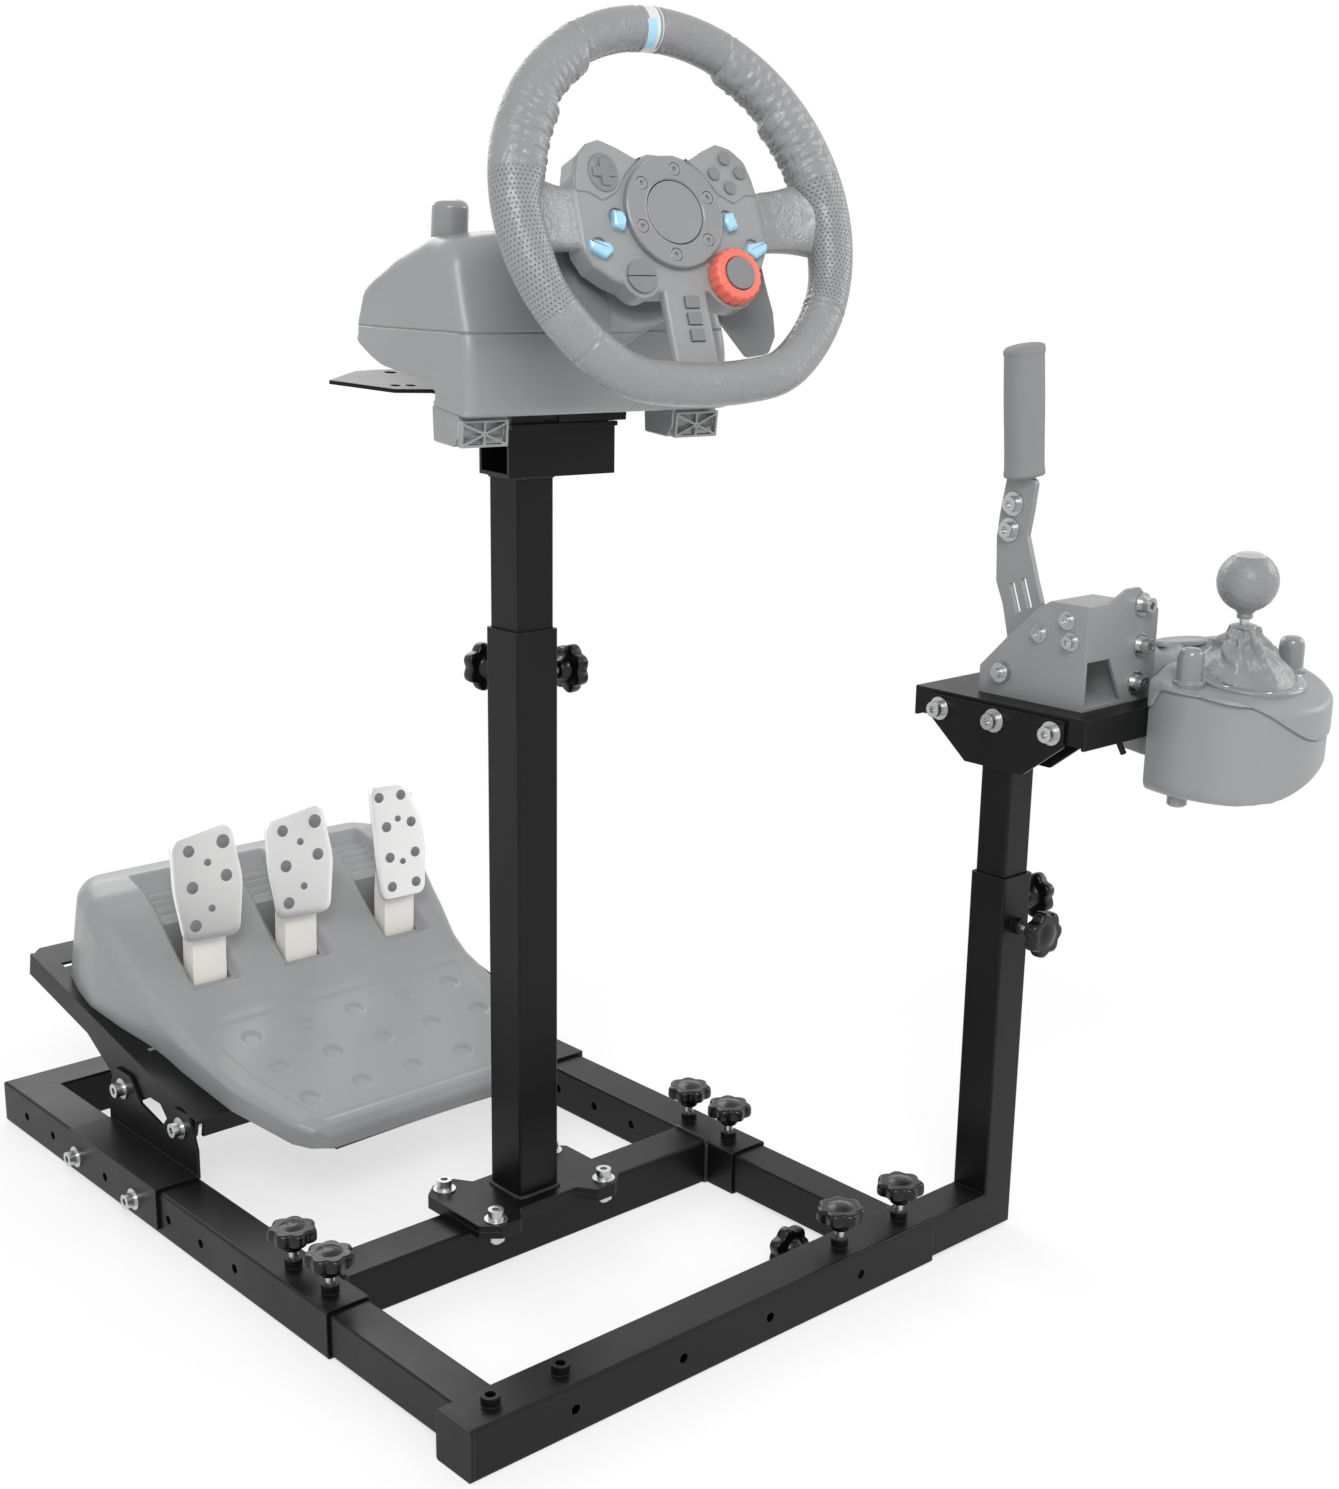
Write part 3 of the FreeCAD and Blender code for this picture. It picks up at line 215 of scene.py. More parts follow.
def coated(name, tone, edge_wear_and_highlight_tone, rough, grain, depth, ease, metallic=0.0, ior=1.5, coat=0.0, patch=0.05,
        edge_wear_and_highlight=0.5, spread=0.06, seams=(), specular=0.5):
    """A solid finish whose tone drifts over patches, with a fine grain in its height and eased edges, which
    are lightened as wear and as a painted highlight. Lengths are in metres: grain is the width of the
    texture's bumps and depth their height.
    Each seam is a plane's direction and distance, along which a parting line is pressed and painted darker as
    painted shade."""
    mat, co = started(name)
    drift = add(mat, "TexNoise", {"Vector": co, "Scale": 1 / patch, "Detail": 3.0,
        "Roughness": 0.55}).outputs["Fac"]
    fine = add(mat, "TexNoise", {"Vector": co, "Scale": 1 / grain, "Detail": 2.0,
        "Roughness": 0.6}).outputs["Fac"]
    flat = add(mat, "NewGeometry").outputs["Normal"]
    eased = add(mat, "Bevel", {"Radius": ease}, samples=4).outputs[0]
    same = add(mat, "VectorMath", {0: flat, 1: eased}, operation="DOT_PRODUCT").outputs["Value"]
    # The eased edges are mixed towards a lighter tone: partly wear, partly a painted highlight along the
    # edges
    edge = add(mat, "MapRange", {"Value": same, "From Min": 0.995, "From Max": 0.80, "To Min": 0.0,
        "To Max": edge_wear_and_highlight})
    dark, light = toned(tone, 1 - 2.2 * spread), toned(tone, 1 + spread)
    body = add(mat, "Mix", {0: drift, 6: dark, 7: light}, data_type="RGBA").outputs[2]
    colour = add(mat, "Mix", {0: edge.outputs[0], 6: body, 7: edge_wear_and_highlight_tone}, data_type="RGBA").outputs[2]
    height = add(mat, "Math", {0: fine, 1: depth}, operation="MULTIPLY").outputs[0]
    for direction, distance in seams:
        rise = add(mat, "VectorMath", {0: co, 1: direction}, operation="DOT_PRODUCT").outputs["Value"]
        off = add(mat, "Math", {0: rise, 1: distance}, operation="SUBTRACT").outputs[0]
        off = add(mat, "Math", {0: off}, operation="ABSOLUTE").outputs[0]
        line = add(mat, "MapRange", {"Value": off, "From Min": 0.0002, "From Max": 0.0011, "To Min": 1.0,
            "To Max": 0.0})
        height = add(mat, "Math", {0: line.outputs[0], 1: -0.0008, 2: height},
            operation="MULTIPLY_ADD").outputs[0]
        # The groove is also painted darker: painted shade in the parting line
        shade = add(mat, "Math", {0: line.outputs[0], 1: 0.45}, operation="MULTIPLY").outputs[0]
        colour = add(mat, "Mix", {0: shade, 6: colour, 7: toned(tone, 0.3)}, data_type="RGBA").outputs[2]
    gloss = add(mat, "MapRange", {"Value": drift, "From Min": 0.3, "From Max": 0.7, "To Min": rough * 0.86,
        "To Max": min(1.0, rough * 1.16)}).outputs[0]
    bump = add(mat, "Bump", {"Height": height, "Distance": 1.0, "Strength": 1.0, "Normal": eased}).outputs[0]
    return finished(mat, add(mat, "BsdfPrincipled", {"Base Color": colour, "Metallic": metallic,
        "Roughness": gloss, "IOR": ior, "Specular IOR Level": specular, "Coat Weight": coat,
        "Coat Roughness": 0.08, "Normal": bump}))


def leather(name, tone, pitch=None):
    """Drummed full-grain leather: a pebble grain, drawn at 1.9 mm so that it shows, over soft folds. With a
    pitch, it also has rows of punched holes along the piece's run and round attributes, where its holed
    attribute is 1."""
    mat, co = started(name)
    pebble = add(mat, "TexVoronoi", {"Vector": co, "Scale": 1 / 0.0019},
        feature="SMOOTH_F1").outputs["Distance"]
    folds = add(mat, "TexNoise", {"Vector": co, "Scale": 1 / 0.011, "Detail": 4.0, "Roughness": 0.6,
        "Distortion": 1.4})
    drift = add(mat, "TexNoise", {"Vector": co, "Scale": 1 / 0.06, "Detail": 2.0}).outputs["Fac"]
    # The tone drifts at random over patches, and darkens in the crevices between pebbles, which is painted
    # shade
    shade = add(mat, "Math", {0: pebble, 1: 0.25, 2: drift}, operation="MULTIPLY_ADD").outputs[0]
    dark, light = toned(tone, 0.84), toned(tone, 1.06)
    colour = add(mat, "Mix", {0: shade, 6: light, 7: dark}, data_type="RGBA").outputs[2]
    height = add(mat, "Math", {0: pebble, 1: -0.00016}, operation="MULTIPLY").outputs[0]
    height = add(mat, "Math", {0: folds.outputs["Fac"], 1: 0.0011, 2: height},
        operation="MULTIPLY_ADD").outputs[0]
    if pitch:
        run, ring, mask = (add(mat, "Attribute", attribute_name=a).outputs["Fac"] for a in ("run", "round",
            "holed"))
        u = add(mat, "Math", {0: run, 1: pitch}, operation="DIVIDE").outputs[0]
        row = add(mat, "Math", {0: u}, operation="FLOOR").outputs[0]
        v = add(mat, "Math", {0: ring, 1: pitch}, operation="DIVIDE").outputs[0]
        v = add(mat, "Math", {0: row, 1: 0.5, 2: v}, operation="MULTIPLY_ADD").outputs[0]
        u, v = (add(mat, "Math", {0: q}, operation="FRACT").outputs[0] for q in (u, v))
        u, v = (add(mat, "Math", {0: q, 1: 0.5}, operation="SUBTRACT").outputs[0] for q in (u, v))
        spot = add(mat, "CombineXYZ", {0: u, 1: v}).outputs[0]
        far = add(mat, "VectorMath", {0: spot}, operation="LENGTH").outputs["Value"]
        hole = add(mat, "MapRange", {"Value": far, "From Min": 0.11, "From Max": 0.24, "To Min": 1.0,
            "To Max": 0.0})
        hole = add(mat, "Math", {0: hole.outputs[0], 1: mask}, operation="MULTIPLY").outputs[0]
        height = add(mat, "Math", {0: hole, 1: -0.0007, 2: height}, operation="MULTIPLY_ADD").outputs[0]
        # The holes are also painted dark: painted shade inside the punched holes
        shade = add(mat, "Math", {0: hole, 1: 0.5}, operation="MULTIPLY").outputs[0]
        colour = add(mat, "Mix", {0: shade, 6: colour, 7: toned(tone, 0.25)}, data_type="RGBA").outputs[2]
    gloss = add(mat, "MapRange", {"Value": pebble, "To Min": 0.22, "To Max": 0.34}).outputs[0]
    bump = add(mat, "Bump", {"Height": height, "Distance": 1.0, "Strength": 1.0}).outputs[0]
    return finished(mat, add(mat, "BsdfPrincipled", {"Base Color": colour, "Roughness": gloss, "IOR": 1.5,
        "Normal": bump}))


def brushed(name, tone, rough):
    """Aluminium sheet drawn through a belt: lines along x, 0.7 mm apart so that they show, that spread its
    highlight."""
    mat, co = started(name)
    run = add(mat, "Mapping", {"Vector": co, "Scale": (25, 1400, 1400)}).outputs[0]
    lines = add(mat, "TexNoise", {"Vector": run, "Scale": 1.0, "Detail": 3.0, "Roughness": 0.7}).outputs[
        "Fac"]
    cloud = add(mat, "TexNoise", {"Vector": co, "Scale": 1 / 0.03, "Detail": 2.0}).outputs["Fac"]
    colour = add(mat, "Mix", {0: lines, 6: toned(tone, 0.93), 7: tone}, data_type="RGBA").outputs[2]
    gloss = add(mat, "MapRange", {"Value": cloud, "To Min": rough * 0.8, "To Max": rough * 1.2}).outputs[0]
    eased = add(mat, "Bevel", {"Radius": 0.0012}, samples=4).outputs[0]
    bump = add(mat, "Bump", {"Height": lines, "Distance": 0.000012, "Strength": 1.0, "Normal": eased})
    return finished(mat, add(mat, "BsdfPrincipled", {"Base Color": colour, "Metallic": 1.0,
        "Roughness": gloss, "Normal": bump.outputs[0]}))


def make_materials():
    """Every finish by its short name. A row gives its full name, its tone, the tone that its edges are
    lightened to as wear and as a painted highlight, its roughness, the width and depth of its grain and the
    easing of its edges in metres, and what else it needs."""
    k = looks()
    device, frame_tone, ease = picked(k.device_colour), picked(k.frame_colour), k.edge_ease
    # The parting line of the wheel base rises a little towards the driver
    slope = np.array(PLATE[:3, 2]) + 0.11 * PLATE[:3, 1]
    parting = (tuple(slope), float(slope @ PLATE[:3, 3] + 62.0) * MM)
    shell, polished = dict(ior=1.54, patch=0.12, spread=0.03), dict(ior=1.54, patch=0.03, edge_wear_and_highlight=0.8)
    table = {
        # Polyester powder coat on mild steel: a satin skin with orange peel, drawn at 2 mm so that it shows
        "coat": ("powder_coat_satin_steel", frame_tone, "#3c3c3e", 0.36, 0.002, 0.00003, ease,
                 dict(patch=0.09, edge_wear_and_highlight=0.75, spread=0.10, specular=0.22)),
        # Zinc-plated, chromated steel: bright, with a faint blur from tumbling
        "zinc": ("zinc_plated_steel", "#c9cacb", "#f0f0f0", 0.27, 0.0006, 0.00001, 0.0004,
                 dict(metallic=1.0, patch=0.02, edge_wear_and_highlight=0.4, spread=0.08)),
        # Phenolic moulding: hard, black and glossy from a polished tool
        "phenolic": ("moulded_phenolic_gloss", "#0a0a0b", "#2c2c2e", 0.27, 0.004, 0.00002, 0.0008,
                     dict(coat=0.15, patch=0.02, specular=0.3)),
        # ABS, moulded in a spark-eroded tool: satin, with its fine texture drawn at 0.9 mm
        "abs": ("abs_moulded_textured", device, "#c2c3c4", 0.34, 0.0009, 0.00003, 0.0014, shell),
        # The same ABS with softer edges, and the pressed line where its two halves meet
        "abs_base": ("abs_moulded_with_parting_line", device, "#c2c3c4", 0.34, 0.0009, 0.00003, 0.0022,
                     dict(seams=[parting], **shell)),
        # The same ABS in a darker grey, with a shallower texture that looks smoother
        "abs_dark": ("abs_moulded_satin_dark", toned(device, 0.70), "#a6a7a8", 0.34, 0.0009, 0.00002, 0.0008,
                     dict(ior=1.54, patch=0.04, spread=0.04)),
        # ABS from a polished tool: a clear highlight on a faintly wavy face
        "gloss_ring": ("abs_polished_ring", "#858687", "#d0d1d2", 0.22, 0.003, 0.00001, 0.0009,
                       dict(coat=0.4, spread=0.04, **polished)),
        # The same, lighter and a little less glossy
        "cap": ("abs_polished_cap", "#b4b5b6", "#d0d1d2", 0.25, 0.003, 0.00001, 0.0009,
                dict(coat=0.2, spread=0.03, **polished)),
        # Moulded polycarbonate: one even colour under a glossy skin
        "button": ("polycarbonate_button", picked(k.button_colour), "#d8effa", 0.22, 0.002, 0.00001, 0.0007,
                   dict(ior=1.58, coat=0.3, patch=0.01, edge_wear_and_highlight=0.7, spread=0.04)),
        # Soft-touch moulding: almost matt, with a fine grain that blurs its highlight
        "dial": ("soft_touch_moulding", picked(k.dial_colour), "#ff9a8c", 0.45, 0.0011, 0.00003, 0.0007,
                 dict(patch=0.012, edge_wear_and_highlight=0.6, spread=0.05)),
        # Grey powder coat on mild steel: satin, with orange peel drawn at 2 mm
        "grey_steel": ("powder_coat_grey_steel", "#8f9091", "#b5b6b7", 0.38, 0.002, 0.00003, ease,
                       dict(edge_wear_and_highlight=0.6, spread=0.04)),
        # Closed-cell foam sleeve: matt, with pores drawn at 1.1 mm
        "foam": ("neoprene_foam_sleeve", "#858687", "#929394", 0.75, 0.0011, 0.00012, 0.001,
                 dict(patch=0.03, edge_wear_and_highlight=0.2)),
        # Sprayed enamel on steel: pale and satin, with hardly any grain
        "ivory": ("satin_enamel_ivory", "#f1ede8", "#fbf9f6", 0.32, 0.0016, 0.00002, 0.0007,
                  dict(patch=0.03, edge_wear_and_highlight=0.6, spread=0.03)),
        # Moulded rubber: dull grey, with a soft highlight
        "nub": ("rubber_stud", "#747577", "#9c9d9f", 0.5, 0.0012, 0.00004, 0.0008,
                dict(patch=0.01, edge_wear_and_highlight=0.4, spread=0.05)),
        # Vinyl band: pale, smooth and satin
        "stripe": ("vinyl_stripe", "#d4d6d7", "#e9eaeb", 0.32, 0.0012, 0.00001, 0.0004,
                   dict(patch=0.01, spread=0.04)),
        # Waxed, twisted polyester: its twist is drawn as a 0.5 mm grain that breaks up the light
        "thread": ("waxed_polyester_thread", "#77787a", "#8c8d8f", 0.6, 0.0005, 0.00006, 0.0003,
                   dict(patch=0.01, spread=0.08)),
        # Weld beads under the powder coat: a duller and rougher skin than the tubes have
        "weld": ("painted_weld_bead", frame_tone, "#3a3a3c", 0.45, 0.0016, 0.00008, 0.0005,
                 dict(patch=0.02, spread=0.10)),
    }
    for key, (name, tone, edge_wear_and_highlight_tone, rough, grain, depth, eased, more) in table.items():
        tone = linear(tone) if isinstance(tone, str) else tone
        STUFF[key] = coated(name, tone, linear(edge_wear_and_highlight_tone), rough, grain, depth, eased, **more)
    STUFF["leather"] = leather("full_grain_leather", picked(k.leather_colour))
    STUFF["rim_leather"] = leather("full_grain_leather_punched", picked(k.leather_colour), k.hole_pitch)
    STUFF["brushed"] = brushed("brushed_aluminium_sheet", linear("#f5f5f4"), 0.33)


# Mesh from grids of points
def skin(p, around=True, lengthways=False, ends=True):
    """Vertices and faces through the points p[i, j]: i runs along and j runs round. Around joins the last j
    to the first, lengthways the last ring to the first, and ends closes each end with a fan to its middle,
    or with one flat face."""
    n, m = p.shape[:2]
    v = p.reshape(-1, 3)
    i = np.arange(n if lengthways else n - 1)[:, None]
    j = np.arange(m if around else m - 1)[None]
    a, b = i * m + j, i * m + (j + 1) % m
    c, d = ((i + 1) % n) * m + (j + 1) % m, ((i + 1) % n) * m + j
    faces = np.stack([a, b, c, d], -1).reshape(-1, 4).tolist()
    if ends == "flat":
        faces += [list(range(m))[::-1], list(range((n - 1) * m, n * m))]
    elif ends and around and not lengthways:
        v = np.vstack([v, p[0].mean(0), p[-1].mean(0)])
        k = np.arange(m)
        faces += np.stack([np.roll(k, -1), k, np.full(m, n * m)], -1).tolist()
        faces += np.stack([(n - 1) * m + k, (n - 1) * m + np.roll(k, -1), np.full(m, n * m + 1)],
            -1).tolist()
    return v, faces


def moved(p, m):
    """Points in millimetres, carried by a frame into the row frame in metres."""
    return (p @ m[:3, :3].T + m[:3, 3]) * MM


def laid(m, *grids, **how):
    """Skins of several grids of points in millimetres, carried by one frame."""
    return [skin(moved(p, m), **how) for p in grids]


def piece(name, skins, body, finish, replaces=(), sharp=35.0):
    """One object from skins that are already in the row frame. Its doubles are merged, its normals turned
    outwards and its edges kept sharp past the given angle in degrees. Without a body it rides on none."""
    me = bpy.data.meshes.new(name)
    vs, fs, at = [], [], 0
    for v, f in skins:
        vs.append(v)
        fs += [[q + at for q in g] for g in f]
        at += len(v)
    me.from_pydata(np.vstack(vs).tolist(), [], fs)
    bm = bmesh.new()
    bm.from_mesh(me)
    bmesh.ops.remove_doubles(bm, verts=bm.verts, dist=1e-6)
    bmesh.ops.recalc_face_normals(bm, faces=bm.faces)
    bm.to_mesh(me)
    bm.free()
    me.shade_smooth()
    me.set_sharp_from_angle(angle=math.radians(sharp))
    me.materials.append(STUFF[finish])
    o = bpy.data.objects.new(name, me)
    bpy.context.scene.collection.objects.link(o)
    if body:
        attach(o, body)
    if replaces:
        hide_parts(*replaces)
    return o


def turned(profile, lobes=None, count=48):
    """A profile of (radius, height) turned about z. Lobes gives an extra radius over the angle, and the
    third number of a profile point says how much of it that point takes."""
    prof = np.array([(*q, 0.0)[:3] for q in profile], float)
    a = once_round(count)
    extra = lobes(a) if lobes else np.zeros_like(a)
    r = prof[:, :1] + prof[:, 2:3] * extra[None]
    return np.stack([r * np.cos(a), r * np.sin(a), np.repeat(prof[:, 1:2], count, 1)], -1)


def smooth_profile(points, steps=5):
    """Points joined by a Catmull-Rom curve, with the given steps in each span."""
    p = np.array(points, float)
    q = np.vstack([2 * p[0] - p[1], p, 2 * p[-1] - p[-2]])
    t = np.linspace(0, 1, steps, endpoint=False)[:, None]
    out = [0.5 * (2 * q[k] + (q[k + 1] - q[k - 1]) * t + (2 * q[k - 1] - 5 * q[k] + 4 * q[k + 1]
        - q[k + 2]) * t ** 2 + (3 * q[k] - q[k - 1] - 3 * q[k + 1] + q[k + 2]) * t ** 3) for k in range(1,
        len(q) - 2)]
    return np.vstack(out + [p[-1:]])


def once_round(count, start=0.0):
    """Even angles in radians, once round from the start."""
    return np.linspace(start, start + 2 * np.pi, count, endpoint=False)


def ramp(x, lo, hi):
    """0 below lo, 1 above hi and a smooth step between."""
    t = np.clip((x - lo) / (hi - lo), 0, 1)
    return t * t * (3 - 2 * t)


def marked(o, **values):
    """Keeps a number for each vertex under each name, for the materials."""
    for key, v in values.items():
        v = np.ascontiguousarray(v, np.float32).ravel()
        o.data.attributes.new(key, "FLOAT", "POINT").data.foreach_set("value", v)
    return o


def rounded(points, radius, steps=6):
    """A closed polygon whose corners are quadratic curves that start and end the radius away from each
    corner."""
    p = np.array(points, float)
    before, after = np.roll(p, 1, 0) - p, np.roll(p, -1, 0) - p
    lb, la = np.linalg.norm(before, axis=1), np.linalg.norm(after, axis=1)
    r = np.minimum(radius, 0.48 * np.minimum(lb, la))
    a, b = p + before * (r / lb)[:, None], p + after * (r / la)[:, None]
    t = np.linspace(0, 1, steps)[None, :, None]
    return ((1 - t) ** 2 * a[:, None] + 2 * t * (1 - t) * p[:, None] + t ** 2 * b[:, None]).reshape(-1, 2)


def slab(outline, levels):
    """Rings of a closed outline, each drawn in by an inset along its outward directions and set at a
    height."""
    p = np.array(outline, float)
    n = sideways(p)
    return np.stack([np.column_stack([p - inset * n, np.full(len(p), z)]) for inset, z in levels])


def length_so_far(p):
    """The length of an open line up to each of its points."""
    return np.concatenate([[0], np.cumsum(np.linalg.norm(np.diff(p, axis=0), axis=1))])


def evenly(p, count):
    """A closed line's points, set again at even steps of its length."""
    q = np.vstack([p, p[:1]])
    run = length_so_far(q)
    at = np.linspace(0, run[-1], count, endpoint=False)
    return np.column_stack([np.interp(at, run, q[:, k]) for k in range(2)])


def sideways(p):
    """Outward directions of a closed line's points."""
    t = np.roll(p, -1, 0) - np.roll(p, 1, 0)
    n = np.stack([t[:, 1], -t[:, 0]], -1) / np.linalg.norm(t, axis=1)[:, None]
    return n * np.sign(np.sum(p[:, 0] * np.roll(p[:, 1], -1) - np.roll(p[:, 0], -1) * p[:, 1]))


def under(v, limit, soft):
    """Values held under a limit, with a soft bend where they reach it."""
    return limit - soft * np.log1p(np.exp((limit - v) / soft))


def mirrored(p):
    return p * (-1, 1, 1)


def domes(spots, profile, m, count=20):
    """The same turned shape at many spots, each a point and the direction it stands in, in a frame's
    millimetres."""
    p = turned(profile, count=count)
    return [skin(moved(p, m @ outward(q, d))) for q, d in spots]


def rim_line(count):
    """The rim's middle line in the wheel's plane. Four arcs meet smoothly, so the angle of the outward
    direction runs once round, and each arc's point is its centre plus its radius along that direction.
    Gives, at even steps of length, the length so far, that angle, the points and the outward directions."""
    cx, cy = (RIM_R - CORNER_R) * np.array(turn(LOW))
    fy = cy + math.sqrt((FLAT_R - CORNER_R) ** 2 - cx ** 2)
    mid = math.degrees(math.atan2(cy - fy, cx))
    ends = np.array([180 - LOW, 180 - mid, 360 + mid, 361 + LOW])
    arcs = np.array([(0, 0, RIM_R), (-cx, cy, CORNER_R), (0, fy, FLAT_R), (cx, cy, CORNER_R)])

    def at(a):
        k = arcs[np.searchsorted(ends, a)]
        n = np.stack([np.cos(np.radians(a)), np.sin(np.radians(a))], -1)
        return k[:, :2] + k[:, 2:] * n, n
    a = np.linspace(LOW, 360 + LOW, 6001)
    p, n = at(a)
    run = length_so_far(p)
    s = np.linspace(0, run[-1], count, endpoint=False)
    a = np.interp(s, run, a)
    return s, a, *at(a)


def from_top(a):
    """How many degrees the rim's angles lie from its top."""
    return np.abs((a - 90 + 180) % 360 - 180)


def rim_radius(s, a, j):
    """The leather rim's radius: a round tube, swollen inwards in two steps from the top to the thumbs and
    slimmer again in two steps past the spokes. It has gathers across the swollen part over the spokes,
    pressed seams at four places and on both sides of the centre mark, and the closing seam inside."""
    side = from_top(a)[:, None]
    inner = np.clip(-np.cos(j), 0, 1) ** 1.2
    r = RIM_TUBE + inner * (4.6 * ramp(side, 27, 31) + 4.4 * ramp(side, 50, 55) - 5.5 * ramp(side, 76, 90)
        - 3.5 * ramp(side, 98, 118))
    x = s[:, None]
    gather = ramp(side, 30, 35) * (1 - ramp(side, 76, 84)) * ramp(-np.cos(j), -0.75, 0.3)
    r = r + 0.62 * gather * (0.6 * np.sin(x / 1.05 + 1.6 * np.sin(2 * j + 0.7) + 2.3 * np.sin(x / 23))
        + 0.6 * np.sin(x / 2.3 + 2.2 * np.cos(3 * j) + 1.1 * np.sin(x / 9)))
    for angle, wide in ((225, 0.9), (327 - 360, 0.9), (62, 0.9), (118, 0.9), (87, 0.8), (94, 0.8)):
        s0 = np.interp(angle if angle > LOW else angle + 360, a, s)
        r = r - 0.75 * np.exp(-((x - s0) / wide) ** 2) + 0.25 * np.exp(-((np.abs(x - s0) - 2.4) / 1.3) ** 2)
    return r - 0.8 * np.exp(-((np.abs(j) - np.pi) * 14 / 1.3) ** 2)


def rim_points(p, n, j, r):
    """Points round the rim's line: the radius turns from the outward direction (0) over the driver's side
    to the inside."""
    q = p[:, None] + (r * np.cos(j))[..., None] * n[:, None]
    return np.concatenate([q, (r * np.sin(j))[..., None]], -1)


def spoke_sleeve(sign):
    """A leather sleeve over a side spoke: a flattened ring of half height hy and half thickness hz, whose
    corners round off as both grow towards the rim, while its middle rises into the rim's plane."""
    t = np.linspace(0, 1, 26)[:, None]
    j = once_round(56, -np.pi)[None]
    hem = np.exp(-(t / 0.05) ** 2)
    hy, hz = 20.4 + 9.5 * t ** 2.4 - 0.9 * hem, 5.0 + 7.5 * t ** 1.5 - 0.7 * hem
    power = 2 / (4.6 - 2.2 * t)
    y = -1 + hy * np.sign(np.cos(j)) * np.abs(np.cos(j)) ** power
    z = -13 + 11.5 * t ** 1.4 + hz * np.sign(np.sin(j)) * np.abs(np.sin(j)) ** power
    x = sign * (73.0 + 41 * t + 0 * j)
    return np.stack([x, y, z], -1), (73 + 41 * t + 0 * j) * MM, (j + 0 * t) * 16 * MM


def boot_rings(u):
    """The gaiter from its foot (0) to its neck (1). Its radius falls in a hollow curve, its middle drifts
    from the foot's to the lever's, and folds of five, eight and thirteen waves grow towards mid height and
    slant as they climb."""
    j = once_round(96)[None]
    u = u[:, None]
    r = 10.2 + 29.0 * (1 - u) ** 1.75 + 1.4 * np.exp(-((u - 0.95) / 0.04) ** 2)
    fold = np.sin(np.pi * np.clip(u * 1.02, 0, 1)) ** 0.6
    r = r + fold * (3.0 * np.cos(5 * j + 0.8 + 2.0 * u) + 2.0 * np.cos(8 * j + 2.1 - 3.0 * u)
        + 1.0 * np.cos(13 * j + 4 * u + np.sin(3 * j)))
    r = r + 1.7 * fold * np.sin(17 * u + 2 * np.sin(2 * j + 0.6) + np.cos(3 * j))
    lean = (1 - u) ** 1.3
    x, y = 4 * lean + r * np.cos(j), -4 * lean + r * np.sin(j) * (1 - 0.08 * u)
    z = 25.2 + (y + 0 * x) * GEAR_FALL * (1 - u) + (63.5 - 25.2) * (u
        + 0.10 * np.sin(np.pi * u)) + 1.2 * fold * np.cos(2 * j + 1)
    z = np.where(u < 0.02, 25.1 + GEAR_FALL * y, z)
    return np.stack([x, y, z], -1)


def weld_ring(half_x, half_y, radius=2.4):
    """A fillet weld round a square tube: a bead of small radius along a rounded rectangle, with ripples
    every 3 mm."""
    line = rounded([(-half_x, -half_y), (half_x, -half_y), (half_x, half_y), (-half_x, half_y)], 4, 5)
    t = np.linspace(0, 1, 5, endpoint=False)[None, :, None]
    line = (line[:, None] * (1 - t) + np.roll(line, -1, 0)[:, None] * t).reshape(-1, 2)
    step = np.linalg.norm(np.roll(line, -1, 0) - line, axis=1)
    line, run = line[step > 1e-6], np.cumsum(step[step > 1e-6])
    n = sideways(line)
    j = once_round(10)[None]
    r = (radius * (1 + 0.12 * np.sin(run * 2 * np.pi / 3)))[:, None]
    q = line[:, None] + (r * np.cos(j))[..., None] * n[:, None]
    return np.concatenate([q, (r * np.sin(j) * 0.9)[..., None]], -1)


def dress(finish, *names):
    """Gives CAD nodes a finish."""
    for n in names:
        o = NODES[n]
        o.data.materials.clear()
        o.data.materials.append(STUFF[finish])


def star_knob():
    """A seven-lobed hand knob: its radius swells and shrinks with the cosine of seven times the angle, most
    at the rim of its head, which stands on a tapered neck. The lobes die out across the top, which rises to
    a low smooth dome."""
    prof = smooth_profile([(6.4, 14, 0), (7.6, 15.4, 0), (8.8, 19.0, 0), (10.8, 21.4, 0.15),
        (15.6, 22.6, 0.7), (17.1, 24.2, 1), (17.2, 29.6, 1), (16.6, 32.2, 0.95), (15.0, 33.5, 0.8),
        (12.6, 33.6, 0.45), (10.4, 33.6, 0.15), (8.0, 34.4, 0), (4.4, 35.5, 0), (0.6, 35.9, 0)], 4)
    return turned(prof, lambda a: 3.2 * (0.5 + 0.5 * np.cos(7 * a)) ** 0.7 - 0.7, 98)


